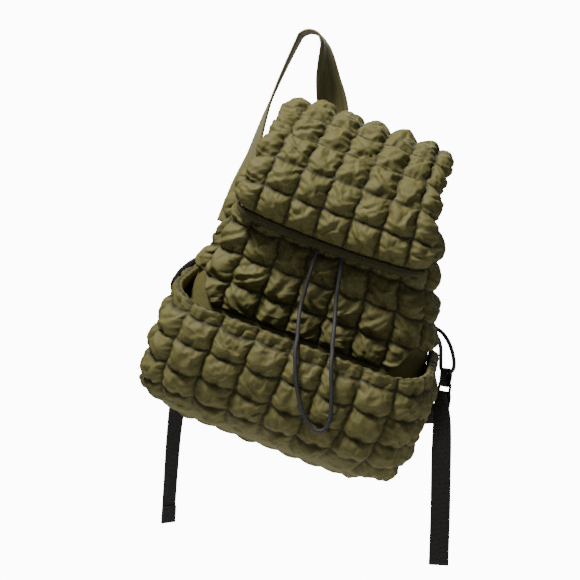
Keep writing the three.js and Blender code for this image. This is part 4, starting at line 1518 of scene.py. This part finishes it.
def band(
    name: str,
    places: Sequence[Station],
    step: float,
    section: Callable[[float, float], np.ndarray],
    closed: bool = False,
) -> bpy.types.Object:
    """A band of cloth along stations.

    Args:
        name: the piece's name.
        places: its stations.
        step: the distance between its loops, in millimetres.
        section: gives its outline for a share along it and a width share, across and out of its face.
        closed: whether it joins up with itself.

    Returns:
        The new piece.
    """
    points = [s.at for s in places]
    spans = len(places) if closed else len(places) - 1
    dense = smooth_curve(points, np.linspace(0, 1, 40 * spans), closed)
    length = float(np.sum(np.linalg.norm(np.diff(dense, axis=0), axis=1)))
    count = max(8, round(length / step))
    shares = np.arange(count) / count if closed else np.linspace(0, 1, count)
    path = smooth_curve(points, shares, closed)
    widths, wides = [], []
    for t in shares:
        k = min(int(t * spans), spans - 1)
        start, end = places[k], places[(k + 1) % len(places)]
        part = t * spans - k
        wides.append(start.wide + (end.wide - start.wide) * part)
        widths.append(start.share + (end.share - start.share) * part)
    if closed:
        tangents = unit(np.roll(path, -1, 0) - np.roll(path, 1, 0))
    else:
        tangents = unit(np.gradient(path, axis=0))
    wides = np.array(wides)
    wides = unit(wides - tangents * np.sum(wides * tangents, axis=1, keepdims=True))
    outwards = np.cross(wides, tangents)
    by_share = {round(i / max(1, count - 1), 9): i for i in range(count)}

    def outline(share: float) -> np.ndarray:
        i = by_share[round(share, 9)]
        return section(float(shares[i]), float(widths[i])) * np.array([-1.0, 1.0])

    return tube(name, path, outline, outwards, joined=closed)


def flat_section(width: float, thickness: float, ridge: float = 0.0) -> Callable[[float, float], np.ndarray]:
    """The outline of webbing: a flat band with round edges.

    Args:
        width: its width.
        thickness: its thickness.
        ridge: how much thicker it is along its two edges.

    Returns:
        A function that gives the outline for a share along it and a width share.
    """

    def outline(_: float, share: float) -> np.ndarray:
        across = np.array([-1, -0.985, -0.94, -0.8, -0.4, 0, 0.4, 0.8, 0.94, 0.985, 1])
        high = np.array([0.25, 0.7, 1.0, 1.0, 1.0, 1.0, 1.0, 1.0, 1.0, 0.7, 0.25])
        edge = ridge * (np.abs(across) > 0.75) * (np.abs(across) < 0.97)
        top = np.stack([across * width / 2 * share, high * thickness / 2 + edge], -1)
        return np.vstack([top, (top * np.array([1, -1]))[::-1]])

    return outline


def strap_section(
    width: float, thickness: float, folds: Callable[[float], float], seed: float
) -> Callable[[float, float], np.ndarray]:
    """The outline of a soft strap, with lengthwise folds and thicker sewn edges.

    Args:
        width: its width when flat.
        thickness: its thickness.
        folds: gives the height of its folds for a share along it.
        seed: picks one set of folds out of many.

    Returns:
        A function that gives the outline for a share along it and a width share.
    """

    def outline(along: float, share: float) -> np.ndarray:
        across = np.linspace(-1, 1, 33)
        depth = folds(along)
        bend = depth * wobble(across * 4.6 + 1.5 * math.sin(5 * along), seed)
        high = thickness / 2 * np.sqrt(np.clip(1 - across**12, 0.02, 1))
        hem = 0.35 * np.exp(-(((np.abs(across) - 0.86) / 0.07) ** 2))
        quilted = -0.3 * np.exp(-(((np.abs(across) - 0.72) / 0.025) ** 2))
        x = across * width / 2 * share
        top = np.stack([x, bend + high + hem + quilted], -1)
        low = np.stack([x, bend - high - hem - quilted], -1)
        return np.vstack([top, low[::-1]])

    return outline


@dataclass
class Straps:
    """The two soft shoulder straps."""

    width: float = 40.0
    thickness: float = 4.0
    from_middle: float = 61.5
    sewn_at: float = 318.0
    peg_radius: float = 15.0
    clearance: float = 0.3
    lid_rear: float = 77.4
    lid_top: float = 396.0

    def __post_init__(self) -> None:
        """Works out where the straps end."""
        self.back = self.lid_rear + self.clearance + self.thickness / 2
        self.left_end = behind_bag(-0.91, 2 * self.thickness + 6, 0.665)
        self.right_end = behind_bag(0.92, 2 * self.thickness + 6, 0.205)

    def left(self) -> bpy.types.Object:
        """The left strap goes up behind the lid, turns edge on over its peg and comes down on the left."""
        middle = np.array([0.0, 0.0, -self.peg_radius])
        over = self.peg_radius + self.thickness / 2 + self.clearance

        def round_peg(degrees: float) -> np.ndarray:
            angle = math.radians(degrees)
            return np.array([math.sin(angle), 0.0, math.cos(angle)]) * over + middle

        def rises_to(z: float) -> np.ndarray:
            return hung([-self.from_middle, self.back, z])

        back = -X
        right, left = round_peg(78), round_peg(-78)
        top = rises_to(self.lid_top + 8)
        places = [
            Station(rises_to(self.sewn_at), BAG_ACROSS),
            Station(rises_to((self.sewn_at + self.lid_top) / 2), BAG_ACROSS),
            Station(top, BAG_ACROSS),
            Station(right + (top - right) * 0.45, turned(BAG_ACROSS, Y, 0.5)),
            Station(right, turned(X, Y, 0.92)),
            Station(round_peg(40), Y),
            Station(round_peg(0), Y),
            Station(round_peg(-40), Y),
            Station(left, turned(back, Y, 0.97)),
            Station(left + (behind_bag(-0.91, 10, 0.93) - left) * 0.5 - 6 * X, turned(back, Y, 0.85)),
            Station(behind_bag(-0.93, 13, 0.93), turned(back, Y, 0.62)),
            Station(behind_bag(-0.92, 15, 0.81), turned(back, Y, 0.36)),
            Station(self.left_end, turned(back, Y, 0.15)),
        ]
        folds = strap_section(
            self.width, self.thickness * 0.8, lambda t: 1.6 * math.exp(-(((t - 0.28) / 0.12) ** 2)) + 0.3, 0.7
        )
        return band("shoulder_strap_left", places, 3.0, folds)

    def right(self) -> bpy.types.Object:
        """The right strap hangs slack behind the bag, in a bow."""
        bow = [
            (0.25, 16, 0.855), (0.0, 15, 0.72), (-0.18, 14, 0.54),
            (-0.13, 14, 0.35), (0.16, 14, 0.215), (0.54, 14, 0.165),
        ]
        sewn = hung([self.from_middle, self.back, self.sewn_at + 0.6 * self.width])
        places = flat_run([sewn, *(behind_bag(*b) for b in bow), self.right_end])
        section = strap_section(self.width, self.thickness * 0.9, lambda t: 0.35, 1.9)
        return band("shoulder_strap_right", places, 3.0, section)


@dataclass
class Fitting:
    """A strap's cord loop, its loop band and its ladder lock, with their directions.

    fold is the middle of the cord loop's lowest stretch, up points to it from the ladder lock, and wide runs
    across the webbing. face points out of the webbing's face.
    """

    side: str
    fold: np.ndarray
    up: np.ndarray
    wide: np.ndarray
    below_loop: float = 22.0
    bar: float = 2.4
    window: float = 4.0
    depth: float = 3.2
    webbing: float = 25.0
    webbing_thickness: float = 1.6
    band_width: float = 17.0
    cord: float = 5.0
    clearance: float = 0.3

    def __post_init__(self) -> None:
        """Squares the directions and places the bars."""
        self.up = unit(self.up)
        self.face = unit(np.cross(self.wide, self.up))
        self.square = np.cross(self.up, self.face)
        self.grip = self.fold - self.up * self.below_loop
        self.pitch = self.bar + self.window
        self.top_bar = self.grip + self.up * self.pitch
        self.low_bar = self.grip - self.up * self.pitch
        self.round_bar = math.hypot(self.bar, self.depth) / 2 + self.webbing_thickness / 2 + self.clearance

    def off(self, place: np.ndarray, along: float, out: float, share: float = 1.0) -> Station:
        """A station at a distance along the fitting from a place and out of its face."""
        return Station(place + self.up * along + self.face * out, self.square, share)

    def round(self, place: np.ndarray, radius: float, degrees: Sequence[float], share: float = 1.0) -> list[Station]:
        """Stations round a bar or a cord."""
        return [
            self.off(place, radius * math.cos(math.radians(a)), radius * math.sin(math.radians(a)), share)
            for a in degrees
        ]

    def loop_band(self) -> bpy.types.Object:
        """The short band that holds the ladder lock's top bar to its cord loop."""
        share = self.band_width / self.webbing
        over_cord = (self.cord + self.webbing_thickness) / 2 + self.clearance
        places = [
            *self.round(self.fold, over_cord, [90, 45, 0, -45, -90], share),
            *self.round(self.top_bar, self.round_bar, [-90, -135, 180, 135, 90], share),
        ]
        section = flat_section(self.webbing, self.webbing_thickness)
        return band(f"loop_webbing_{self.side}", places, 1.5, section, closed=True)

    def ladder_lock(self) -> bpy.types.Object:
        """The ladder lock: three bars between two sides, moulded in one piece with soft edges."""
        inner = self.webbing + 4 * self.clearance
        half_wide = inner / 2 + self.bar
        half_high = self.pitch + self.bar / 2
        bpy.ops.object.select_all(action="DESELECT")
        bpy.ops.mesh.primitive_plane_add(size=2.0, location=(0.0, 0.0, 0.0))
        lock = bpy.context.object
        lock.name = f"ladder_lock_{self.side}_moulded"
        bpy.ops.object.mode_set(mode="EDIT")
        bpy.ops.mesh.select_all(action="SELECT")
        bpy.ops.transform.resize(value=(half_wide * MM, half_high * MM, 1.0))
        edges = [k * self.pitch + s * self.bar / 2 for k, s in ((-1, 1), (0, -1), (0, 1), (1, -1))]
        cuts = [((x, 0.0), (1.0, 0.0)) for x in (-inner / 2, inner / 2)]
        cuts += [((0.0, y), (0.0, 1.0)) for y in edges]
        for (x, y), (nx, ny) in cuts:
            bpy.ops.mesh.select_all(action="SELECT")
            bpy.ops.mesh.bisect(plane_co=(x * MM, y * MM, 0.0), plane_no=(nx, ny, 0.0))
        bpy.ops.object.mode_set(mode="OBJECT")
        for polygon in lock.data.polygons:
            x, y = polygon.center.x / MM, polygon.center.y / MM
            in_window = any(low < y < high for low, high in (edges[:2], edges[2:]))
            polygon.select = abs(x) < inner / 2 and in_window
        bpy.ops.object.mode_set(mode="EDIT")
        bpy.ops.mesh.delete(type="FACE")
        bpy.ops.mesh.select_all(action="SELECT")
        bpy.ops.mesh.extrude_region_move(TRANSFORM_OT_translate={"value": (0.0, 0.0, self.depth * MM)})
        bpy.ops.mesh.select_all(action="SELECT")
        bpy.ops.mesh.normals_make_consistent(inside=False)
        bpy.ops.transform.translate(value=(0.0, 0.0, -self.depth / 2 * MM))
        bpy.ops.object.mode_set(mode="OBJECT")
        soft = lock.modifiers.new("soft_edges", "BEVEL")
        soft.width = 0.7 * MM
        soft.segments = 3
        soft.limit_method = "ANGLE"
        bpy.ops.object.modifier_apply(modifier=soft.name)
        turn = Matrix.Identity(4)
        for k, axis in enumerate((self.square, self.up, np.cross(self.square, self.up))):
            for i in range(3):
                turn[i][k] = axis[i]
        turn.translation = Vector(self.grip * MM)
        lock.data.transform(turn)
        bpy.ops.object.shade_smooth_by_angle(angle=math.radians(35))
        return lock


@dataclass
class Webbing:
    """The flat webbing of each strap, from the strap's end through its ladder lock to its loose end."""

    left_tail: float = 284.0
    right_tail: float = 218.0
    width: float = 25.0
    thickness: float = 1.6
    hem: float = 22.0

    def start(self, end: np.ndarray, before: np.ndarray, gap: float) -> np.ndarray:
        """A place a gap beyond a strap's end."""
        return end + unit(end - before) * gap

    def left(self, fitting: Fitting, straps: Straps) -> list[Station]:
        """The left webbing comes down taut behind its loop, through the ladder lock and on to its end."""
        low, square = fitting.low_bar, fitting.square
        across, back = -X, -square
        before = behind_bag(-0.91, 15, 0.81)

        def off(dx: float, dy: float, dz: float) -> np.ndarray:
            return low + np.array([dx, dy, dz])

        def backwards(s: Station) -> Station:
            return Station(s.at, back, s.share)

        tail = self.left_tail
        return [
            Station(self.start(straps.left_end, before, 0.6), across),
            Station(self.start(straps.left_end, before, self.width / 2), across),
            Station(behind_bag(-0.94, 15, 0.56), turned(across, back, 0.1)),
            Station(behind_bag(-1.04, 12, 0.47), turned(across, back, 0.45)),
            backwards(fitting.off(fitting.fold, 2, -9)),
            backwards(fitting.off(fitting.top_bar, 0, -6.5)),
            *map(backwards, fitting.round(fitting.grip, fitting.round_bar, [-90, -135])),
            *map(backwards, fitting.round(low, fitting.round_bar, [45, 90])),
            backwards(fitting.off(low, -fitting.pitch, fitting.round_bar)),
            Station(off(3, 4, -26), turned(back, across, 0.25)),
            Station(off(-2, 13, -0.2 * tail), turned(back, across, 0.35)),
            Station(off(-7, 14, -0.36 * tail), turned(back, across, 0.35)),
            Station(off(-14, 9, -0.6 * tail), turned(back, across, 0.2)),
            Station(off(-18, 7, -0.8 * tail), turned(back, across, 0.12)),
            Station(off(-22, 7, -tail), turned(back, across, 0.1)),
        ]

    def right(self, fitting: Fitting, straps: Straps) -> list[Station]:
        """The right webbing comes up slack from behind the bag, over the lowest bar and down."""
        low, square = fitting.low_bar, fitting.square
        before = behind_bag(0.54, 14, 0.165)

        def off(dx: float, dy: float, dz: float) -> np.ndarray:
            return low + np.array([dx, dy, dz])

        tail = self.right_tail
        return [
            Station(self.start(straps.right_end, before, 0.6), Z),
            Station(self.start(straps.right_end, before, self.width / 2), Z),
            Station(off(-30, 38, -31), turned(Z, square, 0.15)),
            Station(off(-14, 27, -28), turned(Z, square, 0.4)),
            Station(off(-5, 14, -22), turned(Z, square, 0.7)),
            fitting.off(low, -8, -fitting.round_bar - 0.6),
            *fitting.round(low, fitting.round_bar, [-90, -45, 0, 45, 90]),
            Station(off(-2, -3, -0.16 * tail), turned(square, X, 0.6)),
            Station(off(-3, 0, -0.4 * tail), X),
            Station(off(-4, 3, -0.7 * tail), X),
            Station(off(-6, 4, -tail), X),
        ]

    def build(self, side: str, places: list[Station]) -> tuple[bpy.types.Object, bpy.types.Object]:
        """Builds one side's webbing and the folded hem at its loose end.

        Args:
            side: left or right.
            places: the webbing's stations.

        Returns:
            The webbing and its hem.
        """
        piece = band(f"webbing_{side}", places, 2.0, flat_section(self.width, self.thickness, 0.12))
        end, before = places[-1], places[-2]
        along = unit(end.at - before.at)
        start = end.at - along * self.hem
        out = unit(np.cross(end.wide, along)) * (self.thickness + 0.1)
        middle = (start + end.at) / 2
        hem = band(
            f"webbing_hem_{side}",
            [Station(start + out, end.wide), Station(middle + out, end.wide), Station(end.at + out, end.wide)],
            2.0,
            flat_section(self.width, self.thickness, 0.12),
        )
        return piece, hem


# Free cords. Their routes repeat the model's own, in metres in the bag's frame.


@dataclass(frozen=True)
class CordRoute:
    """A free cord: its name, its node, its points, its real length and its diameter, in metres."""

    name: str
    node: str
    points: tuple[Row, ...]
    length: float
    diameter: float = 0.005

    def build(self) -> bpy.types.Object:
        """Builds the cord as a round tube along its route."""
        line = hung(even_curve(np.array(self.points) / MM, 2.5))
        radius = self.diameter / 2 / MM
        angles = np.linspace(0, 2 * math.pi, 15)[:-1]
        circle = np.stack([radius * np.cos(angles), radius * np.sin(angles)], -1)
        tangents = unit(np.gradient(line, axis=0))
        ups = [unit(np.cross(tangents[0], X + 0.1 * Y))]
        for tangent in tangents[1:]:
            ups.append(unit(ups[-1] - tangent * np.dot(ups[-1], tangent)))
        piece = tube(self.name, line, lambda _: circle, np.array(ups))
        return piece


DRAWCORD = CordRoute(
    "mouth_drawcord",
    "drawcord",
    (
        (-0.014, -0.034, 0.334), (-0.014, -0.045, 0.325), (-0.013, -0.058, 0.312), (-0.012, -0.067, 0.296),
        (-0.011, -0.0705, 0.278), (-0.01, -0.071, 0.262), (-0.0096, -0.071, 0.25), (-0.0075, -0.075, 0.225),
        (-0.006, -0.076, 0.1975), (-0.003, -0.081, 0.174), (0.003, -0.099, 0.157), (0.0075, -0.116, 0.1485),
        (0.01, -0.127, 0.1435), (0.0125, -0.135, 0.134), (0.018, -0.14, 0.119), (0.025, -0.142, 0.103),
        (0.038, -0.142, 0.079), (0.053, -0.1405, 0.0605), (0.066, -0.139, 0.0525), (0.076, -0.139, 0.0555),
        (0.079, -0.1405, 0.067), (0.0735, -0.142, 0.092), (0.064, -0.142, 0.117), (0.058, -0.138, 0.132),
        (0.0545, -0.129, 0.143), (0.051, -0.117, 0.149), (0.047, -0.102, 0.159), (0.0415, -0.086, 0.175),
        (0.035, -0.0775, 0.194), (0.031, -0.076, 0.211), (0.026, -0.075, 0.235), (0.0205, -0.071, 0.252),
        (0.0175, -0.071, 0.264), (0.015, -0.0695, 0.28), (0.0135, -0.066, 0.297), (0.013, -0.056, 0.312),
        (0.013, -0.044, 0.325), (0.013, -0.034, 0.334),
    ),
    0.69,
)
LEFT_LOOP = CordRoute(
    "cord_loop_left",
    "side_cord_loop_left",
    (
        (-0.1456, 0.0375, 0.1895), (-0.151, 0.0365, 0.187), (-0.159, 0.037, 0.181), (-0.167, 0.039, 0.172),
        (-0.174, 0.0425, 0.162), (-0.1785, 0.0455, 0.153), (-0.18, 0.0465, 0.146), (-0.1786, 0.0495, 0.1404),
        (-0.1762, 0.0537, 0.1379), (-0.1738, 0.0586, 0.1386), (-0.1715, 0.0635, 0.1395), (-0.1692, 0.0684, 0.1404),
        (-0.1669, 0.0733, 0.1414), (-0.1648, 0.0772, 0.145), (-0.1634, 0.0784, 0.1515), (-0.1616, 0.0765, 0.1595),
        (-0.1588, 0.0705, 0.168), (-0.1555, 0.06, 0.1755), (-0.151, 0.047, 0.1805), (-0.1462, 0.0385, 0.182),
    ),
    0.16,
)
RIGHT_LOOP = CordRoute(
    "cord_loop_right",
    "side_cord_loop_right",
    (
        (0.1548, 0.0375, 0.2015), (0.161, 0.036, 0.2005), (0.1695, 0.033, 0.1965), (0.179, 0.0295, 0.1885),
        (0.187, 0.0265, 0.178), (0.192, 0.0246, 0.1685), (0.1934, 0.0252, 0.1614), (0.1917, 0.0296, 0.1572),
        (0.1891, 0.0347, 0.1558), (0.1865, 0.0395, 0.1548), (0.1839, 0.0443, 0.1539), (0.1812, 0.0492, 0.1533),
        (0.178, 0.0534, 0.156), (0.1755, 0.0546, 0.1624), (0.1728, 0.0534, 0.17), (0.169, 0.0495, 0.18),
        (0.1625, 0.0425, 0.1895), (0.1552, 0.038, 0.1925),
    ),
    0.146,
)


# Camera, light and floor


@dataclass
class Studio:
    """The camera at the photograph's angle, a plain pale floor and soft light."""

    azimuth: float = 7.0
    elevation: float = 2.0
    distance: float = 2.1
    view: float = 19.6
    aim: Row = (-0.019, -0.060, -0.326)
    floor: float = -1.0

    def camera(self) -> None:
        """Adds the camera."""
        a, e = math.radians(self.azimuth), math.radians(self.elevation)
        forward = Vector((-math.sin(a) * math.cos(e), math.cos(a) * math.cos(e), -math.sin(e)))
        data = bpy.data.cameras.new("camera")
        data.sensor_width = 36.0
        data.lens = 18.0 / math.tan(math.radians(self.view) / 2)
        camera = bpy.data.objects.new("camera", data)
        camera.location = Vector(self.aim) - forward * self.distance
        camera.rotation_mode = "QUATERNION"
        camera.rotation_quaternion = forward.to_track_quat("-Z", "Y")
        bpy.context.scene.collection.objects.link(camera)
        bpy.context.scene.camera = camera

    def light(self, name: str, place: Row, size: float, power: float, colour: str) -> None:
        """Adds a soft square light that faces the bag.

        Args:
            name: the light's name.
            place: where it stands.
            size: the length of its side.
            power: its power in watts.
            colour: its colour.
        """
        data = bpy.data.lights.new(name, "AREA")
        data.size = size
        data.energy = power
        data.color = linear(colour)[:3]
        lamp = bpy.data.objects.new(name, data)
        lamp.location = place
        aim = Vector(self.aim) - Vector(place)
        lamp.rotation_mode = "QUATERNION"
        lamp.rotation_quaternion = aim.to_track_quat("-Z", "Y")
        bpy.context.scene.collection.objects.link(lamp)

    def build(self) -> None:
        """Adds the light, the pale surroundings and the floor."""
        self.light("key", (-0.58, -0.74, 1.66), 0.5, 80.0, "#fff9ee")
        self.light("fill", (1.7, -1.7, 0.1), 1.6, 2.0, "#f4f7ff")
        self.light("rear", (0.4, 1.9, 0.9), 1.4, 20.0, "#ffffff")
        world = bpy.data.worlds.new("studio")
        bpy.context.scene.world = world
        world.use_nodes = True
        tree = world.node_tree
        background = tree.nodes["Background"]
        background.inputs["Color"].default_value = (0.95, 0.96, 1.0, 1.0)
        background.inputs["Strength"].default_value = 0.11
        seen = add_node(tree, "ShaderNodeBackground", {"Color": (1.0, 1.0, 1.0, 1.0), "Strength": 12.0})
        rays = add_node(tree, "ShaderNodeLightPath")
        both = add_node(tree, "ShaderNodeMixShader", {0: (rays, "Is Camera Ray")})
        tree.links.new(background.outputs["Background"], both.inputs[1])
        tree.links.new(seen.outputs["Background"], both.inputs[2])
        tree.links.new(both.outputs["Shader"], tree.nodes["World Output"].inputs["Surface"])
        bpy.ops.object.select_all(action="DESELECT")
        bpy.ops.mesh.primitive_circle_add(
            vertices=96, radius=1.4, fill_type="NGON", location=(0.0, 0.0, self.floor)
        )
        floor = bpy.context.object
        floor.name = "floor"
        material, _, shader = new_material("pale_paper")
        shader.inputs["Base Color"].default_value = linear("#e9e8e5")
        shader.inputs["Roughness"].default_value = 0.9
        shader.inputs["Emission Color"].default_value = linear("#f2f1ee")
        shader.inputs["Emission Strength"].default_value = 0.12
        floor.data.materials.append(material)


def main() -> None:
    """Builds the backpack piece by piece."""
    logging.basicConfig(level=logging.INFO, format="%(name)s %(message)s")
    studio = Studio()
    studio.camera()
    nylon = QuiltedNylon().build()
    cord = BraidedCord().build()
    binding = WovenBand("grosgrain_binding", "#38371a", "#454320", 1.4, sheen=0.03).build()
    webbing = WovenBand("polypropylene_webbing", "#08080a", "#131316", 1.6, roughness=0.6, sheen=0.05).build()
    strap_cloth = StrapCloth().build()
    acetal = MouldedAcetal().build()
    for route in (DRAWCORD, LEFT_LOOP, RIGHT_LOOP):
        dress(route.build(), cord, Slot.CORD, route.node)

    body, lid = MainCompartment(), Lid()
    filling = Filling()
    made = [
        (*body.build(), "body_shell"),
        (*FrontPouch().build(body), "front_pouch"),
        (*lid.build(), "lid_flap"),
    ]
    for piece, pinned, node in made:
        filling.prepare(piece, pinned)
        dress(piece, nylon, Slot.NYLON, node)
    filling.run([piece for piece, _, _ in made])
    for piece, _, _ in made:
        subdivide(piece)
    dress(lid.bound_edge(), binding, Slot.BINDING, "lid_piping")

    straps = Straps()
    dress(straps.left(), strap_cloth, Slot.STRAP, "strap_left")
    dress(straps.right(), strap_cloth, Slot.STRAP, "strap_right")
    fittings = {
        "left": Fitting(
            "left",
            fold=hung([-171.5, 63.5, 139.5]),
            up=Z,
            wide=hung([-169.2, 68.4, 140.4]) - hung([-173.8, 58.6, 138.6]),
        ),
        "right": Fitting(
            "right",
            fold=hung([186.5, 39.5, 154.8]),
            up=np.array([0.12, 0.07, 0.99]),
            wide=hung([189.1, 34.7, 155.8]) - hung([183.9, 44.3, 153.9]),
        ),
    }
    tapes = Webbing()
    runs = {
        "left": tapes.left(fittings["left"], straps),
        "right": tapes.right(fittings["right"], straps),
    }
    for side, fitting in fittings.items():
        dress(fitting.loop_band(), webbing, Slot.WEBBING, f"loop_band_{side}")
        dress(fitting.ladder_lock(), acetal, Slot.BUCKLE, f"ladder_lock_{side}")
        tape, hem = tapes.build(side, runs[side])
        dress(tape, webbing, Slot.WEBBING, f"strap_webbing_{side}")
        dress(hem, webbing, Slot.WEBBING)
    studio.build()


if __name__ == "__main__":
    main()
